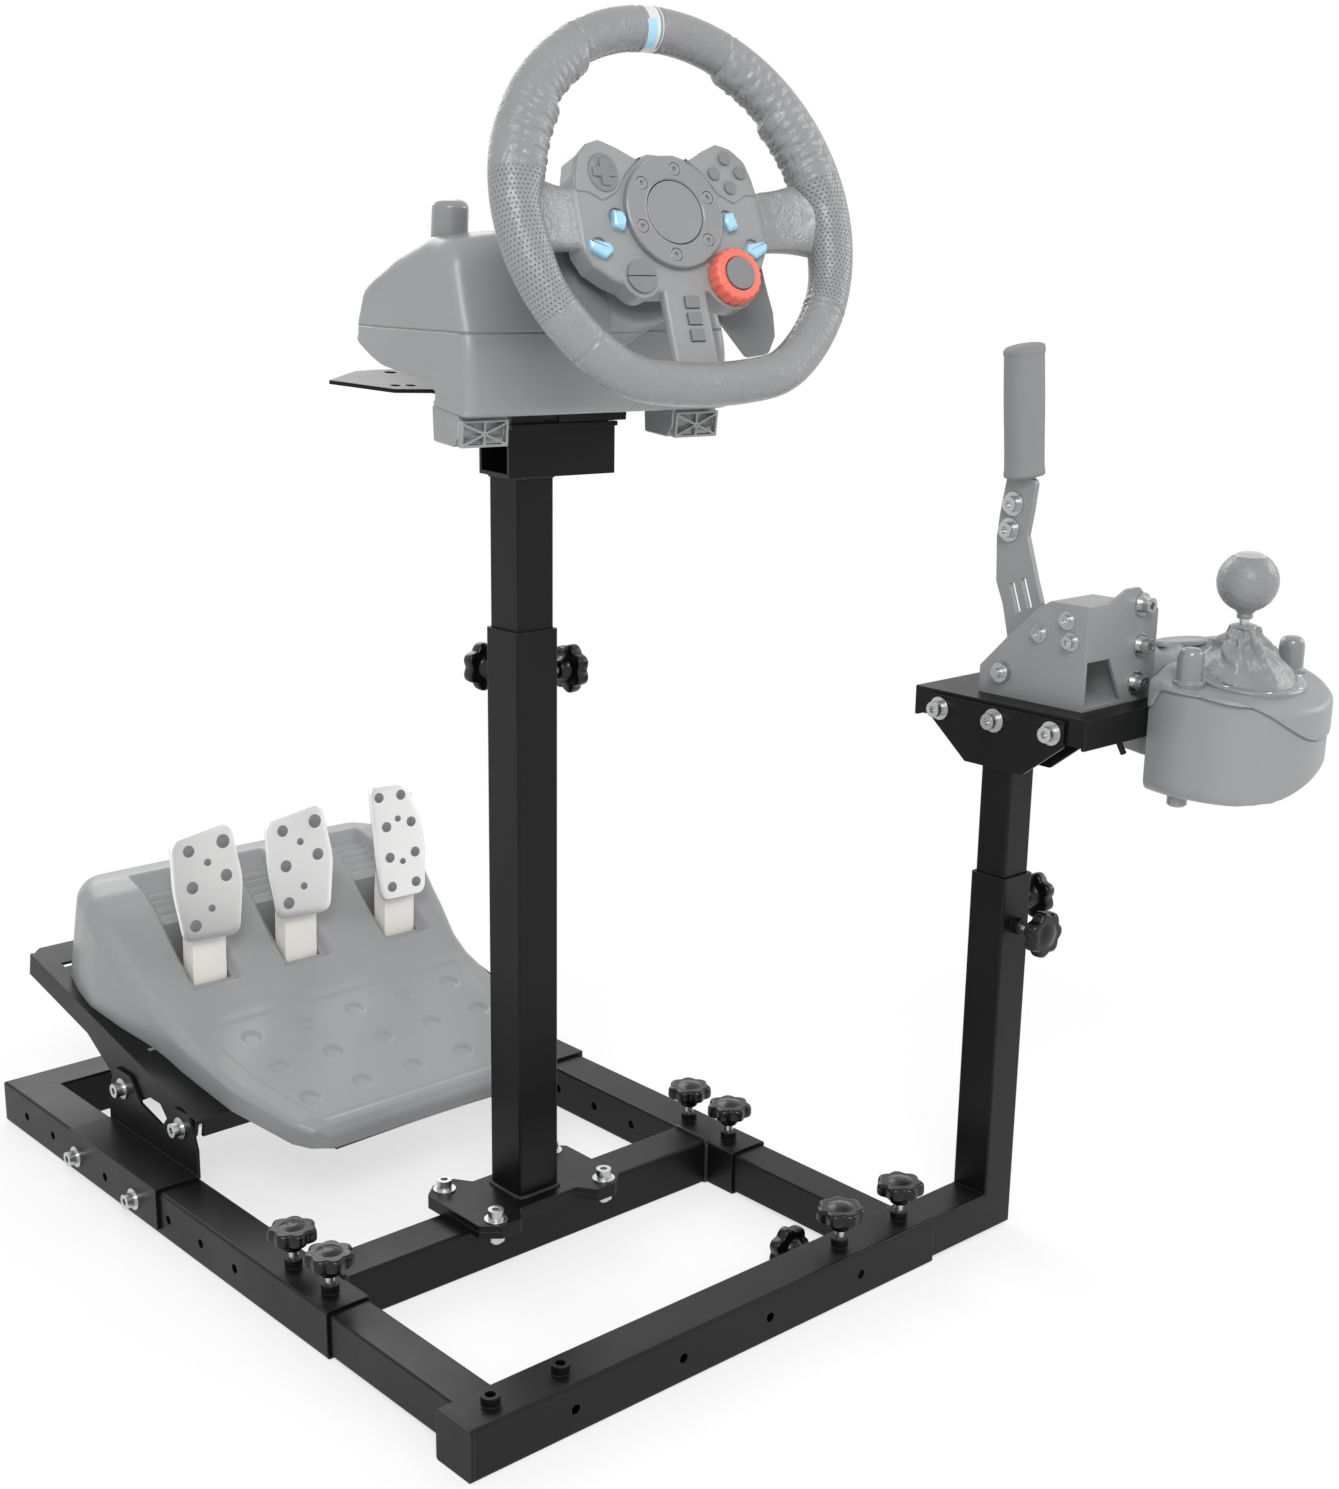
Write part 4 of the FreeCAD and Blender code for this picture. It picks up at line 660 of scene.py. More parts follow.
class COCKPIT_OT_frame(bpy.types.Operator):
    """Dresses the steel frame, and makes its star knobs and weld beads"""
    bl_idname = "cockpit.frame"
    bl_label = "Frame and knobs"

    def execute(self, context):
        dress("coat", "left_side_tube", "right_side_tube", "rear_cross_tube", "cross_beam", "foot_plates",
            "column_tube", "pedal_brackets", "pedal_tray", "front_tube", "front_end_cap", "front_rails",
            "post_tube", "stand_tube", "stand_plates", "stand_tray", "inner_tube", "head_channel",
            "head_carrier", "wheel_plate")
        dress("zinc", "frame_studs", "front_studs", "post_studs", "frame_bolts", "stand_bolts")
        knob = star_knob()
        for name, body, spots, node in (("frame_star_knobs", "base_frame", FRAME_KNOBS, "frame_knobs"),
                ("front_star_knobs", "front_frame", FRONT_KNOBS, "front_knobs"), ("post_star_knobs",
                "shifter_post", POST_KNOBS, "post_knobs")):
            piece(name, [skin(moved(knob, m)) for m in spots], body, "phenolic", (node,), sharp=50)
        bead = weld_ring(TUBE_BEAD, TUBE_BEAD)
        piece("column_weld_bead", laid(place((0, 0, FOOT_TOP)), bead, lengthways=True), "base_frame", "weld")
        # the cross beam's two ends; along the floor the bead is ground flush
        end = bead[..., [2, 0, 1]] + (0, 0, 20)
        ends = [np.maximum(end + (x, 0, 0), (-np.inf, -np.inf, FLOOR_GAP)) for x in (-BEAM_END, BEAM_END)]
        piece("beam_weld_beads", laid(place((0, 0, 0)), *ends, lengthways=True), "base_frame", "weld")
        head = weld_ring(INNER_BEAD, INNER_BEAD, 2.0)
        piece("head_weld_bead", laid(place((0, 0, HEAD_LOW)), head, lengthways=True), "wheel_head", "weld")
        return {"FINISHED"}


def pedal_shell():
    """The pedal base. Across, each ring runs up one side, round a corner and over the top; along y, the
    ring's height and half width follow smooth curves. The top takes a sunk footrest with fifteen round
    hollows, a wide shallow well round each arm with ribs at its far end, and a deep slot that leaves the
    arm its travel."""
    key = np.array([(-88, 1, 106), (-87.4, 6, 110), (-85, 12.5, 114), (-79, 18, 126), (-66, 20.6, 136),
        (0, 24.4, 156), (70, 28.5, 163), (96, 31, 164), (122, 39, 167), (160, 58.5, 176), (206, 83, 183),
        (236, 92.5, 180), (262, 93.5, 174), (284, 88, 162), (304, 76, 143), (318, 60, 124), (325, 44, 112),
        (328, 26, 106), (328.4, 4, 104)], float)
    y = np.concatenate([np.linspace(-88, -60, 26)[:-1], np.linspace(-60, 300, 218)[:-1], np.linspace(300,
        328.4, 24)])
    h, w = (np.interp(y, key[:, 0], key[:, k]) for k in (1, 2))
    soft = np.exp(-np.linspace(-2.2, 2.2, 13) ** 2)
    h[24:-22], w[24:-22] = (np.convolve(v, soft / soft.sum(), "same")[24:-22] for v in (h, w))
    h, w, y = h[:, None], w[:, None], y[:, None]
    corner = np.clip(0.30 * h, 3, 20)
    a = np.radians(np.linspace(90, 0, 11))[None]
    side_z = (h - corner) * np.linspace(0, 1, 8)[None, :-1]
    side_x, arc_x = w - 0.04 * side_z, w - 0.04 * (h - corner) - corner * (1 - np.sin(a))
    arc_z = h - corner + corner * np.cos(a)
    flat = (arc_x[:, -1:]) * np.linspace(-1, 1, 212)[None, 1:-1]
    x = np.hstack([-side_x, -arc_x, flat, arc_x[:, ::-1], side_x[:, ::-1]])
    z = np.hstack([side_z, arc_z, h + 0 * flat, arc_z[:, ::-1], side_z[:, ::-1]])
    top = ramp(z, h - 2.0, h - 0.4)
    edge = np.minimum(w - 22 - np.abs(x), np.minimum(y + 74, 86 - y))
    cut = -1.3 * ramp(edge, 0, 5)
    column, row = np.clip(np.round((x - 5) / 54), -2, 2), np.clip(np.round((y - 9) / 48.5), -1, 1)
    spot = np.hypot((x - 5) - 54 * column, (y - 9) - 48.5 * row)
    cut = cut - 2.0 * (1 - ramp(spot, 6.8, 9.6))
    for px in PEDAL_X:
        u, v = np.abs(x - px), y
        well = np.minimum(28 - 0.03 * (v - 120) - u, np.minimum((v - 127) * 0.9, 262 - v))
        cut = cut - 9.0 * ramp(well, 0, 9)
        ribs = ramp(well, 4, 9) * ramp(v, 202, 207) * (1 - ramp(v, 248, 252))
        cut = cut + ribs * 2.2 * np.cos((v - 206) * 2 * np.pi / 9)
        slot = np.minimum(ARM_HALF + 1.8 - u, np.minimum(v - 139.6, 200 - v))
        cut = np.where(slot > 0, np.minimum(cut, -(h - 15.0) * ramp(slot, 0, 1.2)), cut)
    z = np.maximum(z + top * cut, np.minimum(z, 12))
    return np.stack([x, y + 0 * x, z], -1)


def pad_front(z, z0):
    """How far towards the driver a pad's face stands: it leans back and curves as it rises."""
    d = z - z0
    return -13 + 0.13 * d + 0.0005 * d * d


def pad_plate(outline, z0):
    """A bent sheet pad 3 mm thick: rings of its outline grow from the middle of its back to its edge, and
    shrink again to the middle of its front."""
    p = rounded(outline, 10, 8)
    mid = p.mean(0)
    rings = []
    for scale, depth in [(0.02, 3), (0.35, 3), (0.7, 3), (0.985, 3), (1, 2.5), (1, 0.9), (0.988, 0.25),
            (0.965, 0), (0.85, 0), (0.7, 0), (0.5, 0), (0.3, 0), (0.02, 0)]:
        q = mid + scale * (p - mid)
        rings.append(np.column_stack([q[:, 0], pad_front(q[:, 1], z0) + depth, q[:, 1]]))
    return np.stack(rings)


class COCKPIT_OT_pedals(bpy.types.Operator):
    """Makes the pedal base's shell and the bent pads with their rubber studs, and dresses the arms"""
    bl_idname = "cockpit.pedals"
    bl_label = "Pedals"

    def execute(self, context):
        piece("pedal_base_shell", laid(TRAY, pedal_shell()), "pedal_deck", "abs", ("pedal_base",), sharp=40)
        dress("ivory", "clutch_arm", "brake_arm", "throttle_arm")
        wide = [(-35, 42), (27, 52), (34.5, -2), (27, -53), (-30, -50), (-37, -2)]
        tall = [(-31, 59), (10, 58), (25, 18), (27.5, -6), (24, -54), (-27, -54), (-31, -16)]
        pairs = [(-17.5, 32, 5.4), (17.5, 35, 6.4), (-17.5, -1, 5.6), (17.5, 4, 5.6), (-17.5, -36, 5.6),
            (0, 19, 3.3), (0, -23, 3.3)]
        rows = [(x, z, 4.9) for x, z in ((-21, 47), (4, 46), (-15.5, 18), (13, 18.5), (-14.5, -12),
            (15, -11.5), (-14, -41), (14, -41))]
        rows += [(-2, 24, 3.0), (0, -18, 3.0)]
        for name, m, z0, outline, spots in (("clutch", PEDALS[0], 114, wide, pairs), ("brake", PEDALS[1],
                115, wide, pairs), ("throttle", PEDALS[2], 112, tall, rows)):
            plate = pad_plate([(x, z + z0) for x, z in outline], z0)
            piece(name + "_bent_pad", laid(m, plate), name + "_pedal", "brushed", (name + "_pad",), sharp=50)
            studs = []
            for x, z, r in spots:
                dome = smooth_profile([(r, -0.6), (r, 0.7), (r * 0.9, 1.3), (r * 0.78, 1.1), (r * 0.7, 1.5),
                    (r * 0.4, 2.0), (0.3, 2.1)], 3)
                studs += domes([((x, pad_front(z + z0, z0) + 0.2, z + z0), (0, -0.9915, 0.13))], dome, m, 24)
            piece(name + "_pad_studs", studs, name + "_pedal", "nub")
        return {"FINISHED"}


class COCKPIT_OT_handbrake(bpy.types.Operator):
    """Dresses the handbrake and makes its foam grip"""
    bl_idname = "cockpit.handbrake"
    bl_label = "Handbrake"

    def execute(self, context):
        dress("grey_steel", "handbrake_frame", "handbrake_arm")
        dress("zinc", "handbrake_pin", "handbrake_bolts", "handbrake_arm_bolts")
        prof = smooth_profile([(11.5, 0.4), (15.2, 0), (16.3, 1.4), (16.4, 4), (15.9, 9), (15.9, 30),
            (16.2, 60), (16.0, 88), (15.9, 96), (16.4, 98.5), (16.4, 102), (15.0, 104.8), (11, 106),
            (5, 106.3), (0.5, 106.4)], 5)
        lean = turn(4.4)
        m = place((350, -202.6, 633.2), y=(0, lean[0], -lean[1]), z=(0, lean[1], lean[0]))
        sleeve = turned(prof, count=72)
        low, high = 1 - ramp(sleeve[..., 2], 0, 20), ramp(sleeve[..., 2], 90, 106)
        sleeve[..., 2] += (0.09 * low + 0.16 * high) * sleeve[..., 0] - 2.4 * high + 1.2 * low
        grip = piece("handbrake_foam_grip", laid(m, sleeve), "handbrake_lever", "foam", ("handbrake_grip",))
        return {"FINISHED"}


def shifter_shell():
    """The shifter's body, in rings from its foot to the top. A seam that falls in an S from the left side
    to the nose parts it into a lower body and a cover. The lower body's far corner is cut away by a curved
    face, and behind the stand's flange it stops. The cover's edge rounds into the sloping top, which sinks
    into a round bowl under the gaiter."""
    p = evenly(rounded([(-77, 75), (-77, -12), (-56, -54), (-18, -75), (16, -75), (52, -54), (75, -12),
        (75, 75)], 19, 10), 240)
    n = sideways(p)
    back, far_way = np.array(BEHIND), np.array(FAR)

    def stopped(q):
        """Points held in front of the stand's flange."""
        return q + (np.minimum(q @ back, FLANGE) - q @ back)[:, None] * back
    seam = 17 - 33 * ramp(p[:, 0], -58, 22)
    hid = ramp(p @ back, 22, 36)
    seam = seam * (1 - hid) + 0.7 * hid
    rings = []
    levels = [(0, 10), (0.012, 6.4), (0.035, 4.2), (0.07, 2.8), (0.12, 2.1)]
    levels += [(v, 2.0) for v in np.linspace(0.17, 0.97, 20)] + [(0.985, 2.3), (1, 3.2)]
    for f, inset in levels:
        q, z = p - inset * n, -68 + (seam - 0.9 + 68) * f
        far = q @ far_way
        reach = np.interp(z, [-68, -66.5, -63, -57, -51, -45, -38, -31, -15], [2, 14, 36, 49, 59, 67, 75,
            80, 200])
        q = q + (under(far, reach, 2.2) - far)[:, None] * far_way
        rings.append(np.column_stack([stopped(q), z]))
    top = GEAR_TOP + GEAR_FALL * p[:, 1]
    r = np.minimum(6.5, 0.75 * (top - seam))
    cover = [(3.2 + 0 * r, seam + 0.1), (0.5 + 0 * r, seam + 0.1), (0 * r, seam + 0.1 + 0.12 * (top - seam))]
    cover += [(r * (1 - math.cos(a)), top - r * (1 - math.sin(a))) for a in np.radians(np.linspace(0, 90,
        9))]
    for inset, z in cover:
        q = p - inset[:, None] * n
        rings.append(np.column_stack([stopped(q), z]))
    a = np.arctan2(p[:, 1] - 8, p[:, 0])
    bowl = np.stack([np.cos(a), np.sin(a)], -1)
    rings.append(np.column_stack([34 * bowl, GEAR_TOP + 5.1 * bowl[:, 1]]))
    rings += [np.column_stack([q * bowl, np.full(len(p), z)]) for q, z in ((33.6, 14), (33.6, -28),
        (30, -30))]
    return np.stack(rings)


def shifter_hump():
    """The mound behind the gaiter: its height follows a curve from front to back, and rounds off at the
    sides and along a wall that keeps clear of the ring."""
    u, v = np.linspace(-1, 1, 81)[None], np.linspace(0, 1, 61)[:, None] ** 1.5
    x = 3.5 + 46.5 * u + 0 * v
    y = np.maximum(6, -4 + np.sqrt(np.maximum(47.6 ** 2 - (x - 4) ** 2, 0)))
    t = y + v * (75.5 - y)
    z = np.interp(t, [6, 20, 34, 50, 62, 70, 74, 75.5], [27, 34, 40.5, 42.4, 42, 40, 35, 0.3])
    front = np.sqrt(1 - (1 - np.clip((t - y) / 13, 0, 1)) ** 2)
    sides = (1 - np.abs(u) ** 7) ** 0.4
    return np.stack([x, t, 0.3 + (z - 0.3) * front * sides], -1)


class COCKPIT_OT_shifter(bpy.types.Operator):
    """Makes the gear shifter's body, mound, ring, clamp knobs, ball and gaiter, and dresses its rod"""
    bl_idname = "cockpit.shifter"
    bl_label = "Gear shifter"

    def execute(self, context):
        dress("zinc", "gear_pivot", "gear_rod")
        piece("shifter_body", laid(GEAR, shifter_shell()), "shifter_stand", "abs", ("shifter_housing",
            "shifter_cover"), sharp=40)
        q = once_round(72)
        lid = slab(np.stack([-14 + 25 * np.cos(q), 56 + 11.5 * np.sin(q)], -1), [(0, 39), (0, 42.6),
            (0.4, 43.1), (1.4, 43.2), (2.6, 42.8)])
        piece("shifter_mound", laid(GEAR, shifter_hump(), around=False, ends=False) + laid(GEAR, lid),
            "shifter_stand", "abs", sharp=50)
        hoop = turned([(34.2, -2), (34.2, 2.4), (34.9, 3.1), (36.5, 3.3), (43.4, 3.3), (45, 3.0),
            (45.9, 2.1), (46, -2)], count=128)
        hoop = hoop + (4, -4, 0)
        hoop[..., 2] += GEAR_TOP + GEAR_FALL * hoop[..., 1]
        piece("shifter_gloss_ring", laid(GEAR, hoop, ends=False), "shifter_stand", "gloss_ring",
            ("shifter_ring",), sharp=40)
        head = smooth_profile([(12.4, 15), (12.4, 23.0), (11.6, 24.2), (10.5, 24.8), (10.3, 27), (10.2, 40),
            (9.9, 44), (8.6, 47.6), (6, 49.6), (3, 50.4), (0.3, 50.5)], 5)
        foot = turned([(0.3, -77), (6.5, -77), (8, -75.5), (8, -60)], count=40)
        jaws = [slab(rounded([(x0, y0), (x1, y0), (x1, y1), (x0, y1)], 2, 3), [(1, -42), (0, -41),
            (0, -24.3)]) for x0, x1, y0, y1 in ((-69, -45, 24, 60), (45, 69, 58, 70))]
        knobs = [turned(head, count=64) + (x, y, 0) for x, y in ((-55, -6), (55, 4))]
        feet = [foot + (-57, -6, 0), foot + (57, 4, 7)]
        piece("shifter_clamp_screws", laid(GEAR, *knobs, *feet) + laid(GEAR, *jaws, ends="flat"),
            "shifter_stand", "gloss_ring", ("shifter_clamps",), sharp=40)
        a = np.radians(np.linspace(-84, 56, 40))
        ball = [(3.9, -29.4), (5.6, -29.2), (6.2, -28.2), (6.2, -26), (5.8, -25.2), (8.0, -23.0)]
        ball += [(24 * math.cos(q), 24 * math.sin(q)) for q in a[(24 * np.cos(a) > 8.2) | (a > 0)]]
        m = GEAR @ place((0, 0, 98))
        rim_z, rim_r = 24 * math.sin(a[-1]), 24 * math.cos(a[-1])
        ball += [(rim_r - 0.7, rim_z - 0.4), (rim_r - 1.2, rim_z + 0.2)]
        piece("gear_ball_knob", laid(m, turned(ball, count=96)), "gear_lever", "leather", ("gear_ball",),
            sharp=40)
        cap = smooth_profile([(rim_r - 0.9, rim_z - 0.3), (rim_r - 1.0, rim_z + 0.5), (rim_r - 2.2,
            rim_z + 1.3), (8, rim_z + 3.0), (4, rim_z + 3.6), (0.4, rim_z + 3.8)], 5)
        piece("gear_ball_cap", laid(m, turned(cap, count=72)), "gear_lever", "cap")
        # the gaiter hangs between cover and lever in two pieces that ride on no body: its lower half runs
        # from the cover to
        #         the gimbal, and its upper half from the gimbal to the lever; each half's flat size is its
        #         largest girth by its slant
        u = np.linspace(0, 1, 71)
        neck = np.array([boot_rings(np.array([1.0]))[0] * (k, k, 1) + (0, 0, dz) for k, dz in ((0.8, 0.6),
            (0.42, 0.5))])
        low, high = boot_rings(u[:36]), np.concatenate([boot_rings(u[35:]), neck])
        for name, p, pair, z, cut, area, rest in (("gaiter_lower", low, ("shifter_stand", "gear_gimbal"),
                (27, 45), (0.248, 0.033), 0.00622, "shifter_gloss_ring"), ("gaiter_upper", high,
                ("gear_gimbal", "gear_lever"), (45, 62), (0.161, 0.026), 0.00237, "gear_rod")):
            o = piece(name, laid(GEAR, p, ends=False), None, "leather", sharp=180)
            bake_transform(o)
            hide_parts("gear_boot")
        screws = [(4 + 43 * math.cos(q), -4 + 43 * math.sin(q)) for q in np.radians((-152, -108, -62, -18,
            52, 128))]
        screws = [((x, y, 24.5 + GEAR_FALL * y), (0, 0, 1)) for x, y in screws]
        head = smooth_profile([(2.5, 0), (2.6, 0.7), (2.0, 1.4), (1.0, 1.6), (0.2, 1.65)], 3)
        piece("ring_screw_heads", domes(screws, head, GEAR, 16), "shifter_stand", "zinc")
        return {"FINISHED"}


def base_shell():
    """The wheel base: its side outline is carried from left to right, where its top falls with the square
    of the distance from the middle. Near the sides the outline is drawn in along a quarter circle, most at
    its top and least below."""
    p = [(-84, 14), (-77.5, 60), (-51, 125), (-38, 134.5), (-10, 133.5), (36, 116.5), (66, 100), (89, 85),
        (100.5, 56), (98.5, 39), (48, 29), (-32, 29), (-32, 14)]
    p = evenly(rounded(p, 7, 8), 260)
    n = sideways(p)
    reach = (5 + 6 * np.clip(n[:, 1], 0, 1)) * (1 - 0.8 * ramp(-n[:, 1], 0.2, 0.6))
    rings = []
    for a in np.radians(np.linspace(-90, 90, 91)):
        x = 108 * math.sin(a)
        edge = max(abs(x) - 98, 0) / 10
        q = p - ((1 - math.sqrt(1 - edge ** 2)) * reach)[:, None] * n
        z = q[:, 1] - 8 * (x / 108) ** 2 * ramp(q[:, 1], 60, 110)
        rings.append(np.column_stack([x * (1 - 0.03 * ramp(q[:, 0], 60, 101)), q[:, 0], z]))
    return np.stack(rings)


def clamp_jaws():
    """The wheel base's clamp jaws, and on the front of each a frame with a cross of ribs."""
    out = []
    for mid in (-88, 88):
        block = rounded([(-70, 15), (-70, 0), (-64, -8.5), (-34, -10), (-30, 15)], 2, 3)
        block = slab(block, [(0.8, -19), (0, -18), (0, 18), (0.8, 19)])
        out.append(block[..., [2, 0, 1]] + (mid, 0, 0))
        ends = [((-18, 10.5), (18, 10.5)), ((-18, -6.5), (18, -6.5)), ((-17.5, 10), (-17.5, -6)),
            ((17.5, 10), (17.5, -6)), ((0, 10), (0, -6)), ((-17, 9), (17, -6)), ((-17, -6), (17, 9))]
        for a, b in np.array(ends, float):
            t = (b - a) / np.linalg.norm(b - a)
            w = np.array((-t[1], t[0])) * 0.9
            bar = slab([a - w, b - w, b + w, a + w], [(0, 69), (0, 73.6), (0.4, 74)])
            out.append(bar[..., [0, 2, 1]] * (1, -1, 1) + (mid, 0, 0))
    return out


class COCKPIT_OT_wheel(bpy.types.Operator):
    """Makes the wheel base, the leather rim with its stitches, the spoke sleeves and the hub's buttons"""
    bl_idname = "cockpit.wheel"
    bl_label = "Wheel"

    def execute(self, context):
        nose = smooth_profile([(22.6, -112), (22.6, -60), (23.2, -58.4), (26, -58), (44, -58), (48, -58.4),
            (52, -60.5), (53.8, -65), (53.6, -80), (52.7, -145), (50.5, -149), (44, -150.5), (0.4, -151)],
            4)
        block = slab(rounded([(-40, -20), (40, -20), (40, 92), (-40, 92)], 3, 4), [(0, 3.2), (0, 40)])
        piece("wheel_base_shell", laid(PLATE, base_shell(), block, ends="flat") + laid(WHEEL,
            turned(nose, count=128), ends=False), "wheel_head", "abs_base", ("wheel_base",), sharp=40)
        dress("abs", "wheel_spokes")
        dress("abs_dark", "grey_buttons", "left_paddle", "right_paddle")
        dress("zinc", "wheel_shaft")
        dress("gloss_ring", "hub_ring")
        head = smooth_profile([(12.9, 95), (12.9, 120), (12.8, 143), (12.0, 147.3), (9.6, 149.8),
            (5.5, 150.8), (0.4, 151)], 5)
        posts = [turned(head, count=72) + (x, -4, 0) for x in (-84, 84)]
        piece("base_clamp_posts", laid(PLATE, *posts) + laid(PLATE, *clamp_jaws(), ends="flat"),
            "wheel_head", "gloss_ring", ("base_clamps",), sharp=40)
        prof = smooth_profile([(11.15, -3, 0), (11.2, 1.9, 0), (11.8, 2.9, 0), (14.5, 2.9, 0.1),
            (16.9, 2.2, 0.5), (18.0, 0.6, 1), (18.5, -2.6, 1), (18.6, -6.4, 1), (18.2, -7.6, 0.8),
            (15.5, -7.7, 0), (11.15, -7.7, 0)], 4)
        flutes = turned(prof, lambda q: -1.1 * (0.5 - 0.5 * np.cos(18 * q)) ** 1.6, 180)
        piece("dial_fluted_ring", laid(WHEEL, flutes + (*DIAL, 0), lengthways=True), "dial", "dial",
            ("red_dial",), sharp=60)
        s, a, p, n = rim_line(RIM_STEPS)
        j = once_round(76, -np.pi)[None]
        r = rim_radius(s, a, j)
        rim = piece("rim_leather_wrap", laid(WHEEL, rim_points(p, n, j, r), lengthways=True),
            "steering_wheel", "rim_leather", ("wheel_rim",), sharp=180)
        side = from_top(a)[:, None]
        holed = ramp(side, 78, 80) * (1 - ramp(side, 121, 123))
        marked(rim, run=s[:, None] * MM + 0 * j, round=j * RIM_TUBE * MM + 0 * s[:, None], holed=holed
            + 0 * j)
        for sign, name in ((-1, "left_spoke_sleeve"), (1, "right_spoke_sleeve")):
            q, run, ring = spoke_sleeve(sign)
            o = piece(name, laid(WHEEL, q, ends=False), "steering_wheel", "rim_leather", sharp=180)
            marked(o, run=run, round=ring, holed=0.0 * run)
        # stitches lie across the closing seam inside the rim, every 5.5 mm, but not beside the spokes
        keep = (side[:, 0] < 77) | (side[:, 0] > 103)
        where = np.arange(0, RIM_STEPS, STITCH_STEP)
        where = where[keep[where]]
        t = once_round(6)
        lengths = np.linspace(-1, 1, 5)[:, None]
        fat = 0.55 * np.sqrt(1.02 - lengths ** 2)
        one = np.stack([fat * np.cos(t), fat * np.sin(t), 2.3 * lengths + 0 * t], -1)
        inward = r[where, 0] + 0.15
        across = np.stack([-n[where, 1], n[where, 0]], -1)
        q = p[where] - inward[:, None] * n[where]
        x, y = (np.column_stack([v, np.zeros(len(where))]) for v in (n[where], across * 0.94))
        z = np.column_stack([across * 0.34, np.full(len(where), 0.94)])
        pts = (np.column_stack([q, np.zeros(len(where))])[:, None, None] + one[None, ..., :1] * x[:, None,
            None] + one[None, ..., 1:2] * y[:, None, None] + one[None, ..., 2:] * z[:, None, None])
        piece("rim_stitches", laid(WHEEL, *pts), "steering_wheel", "thread")
        # the centre mark: a pale band, with a coloured patch on its inner front
        for name, lo, hi, j0, j1, up, stuff in (("rim_centre_band", 87.3, 93.7, -np.pi, np.pi, 0.15,
                "stripe"), ("rim_centre_patch", 89.6, 93.4, 1.55, 2.9, 0.3, "button")):
            rows = np.where((a > lo) & (a < hi))[0]
            ring = np.linspace(j0, j1, 61)[None]
            band = rim_points(p[rows], n[rows], ring, RIM_TUBE + up + 0 * ring + 0 * s[rows, None])
            foot = rim_points(p[rows], n[rows], ring, 13.6 + 0 * ring + 0 * s[rows, None])
            shell = np.concatenate([foot[:1], band, foot[-1:]])
            piece(name, laid(WHEEL, shell, around=False, ends=False), "steering_wheel", stuff)
        # raised panels on the hub's wings
        wing = [(16.5, 39.8), (21, 37.9), (34, 44.8), (46, 49.6), (55.4, 46.8), (65, 38.3), (68.8, 25.8),
            (70.3, 15.5), (61.5, 15.6), (51.3, 9.6), (39.2, 16), (34.6, 22.6), (28.4, 30), (20.6, 36)]
        panel = slab(rounded(wing, 2.5), [(0, FACE - 0.6), (0, FACE + 0.5), (0.25, FACE + 0.95),
            (0.8, FACE + 1.2)])
        piece("hub_wing_panels", laid(WHEEL, panel, mirrored(panel), ends="flat"), "steering_wheel", "abs",
            sharp=50)
        pad = smooth_profile([(10.6, -0.6), (11.4, 0.6), (11.0, 1.9), (9.8, 2.2), (7.5, 1.7), (4, 1.2),
            (0.3, 1.1)], 4)
        pad = turned(pad, count=64) * (1, 1.14, 1)
        piece("thumb_pad_dish", laid(WHEEL, pad + (-48, 28, FACE)), "steering_wheel", "abs_dark")
        upper = [(39.6, 1.6), (47, 3.2), (48.6, -8), (41.2, -10.6), (38.2, -4)]
        lower = [(54, -18.8), (69.4, -16.4), (69, -23), (58.5, -29), (51.8, -24)]
        caps = [slab(rounded(q, 1.4, 4), [(0.2, FACE - 1), (0, FACE + 3.6), (0.5, FACE + 4.6),
            (1.7, FACE + 5.4)]) for q in (upper, lower)]
        piece("hub_colour_buttons", laid(WHEEL, *[q for c in caps for q in (c, mirrored(c))], ends="flat"),
            "steering_wheel", "button", ("blue_buttons",), sharp=25)
        return {"FINISHED"}


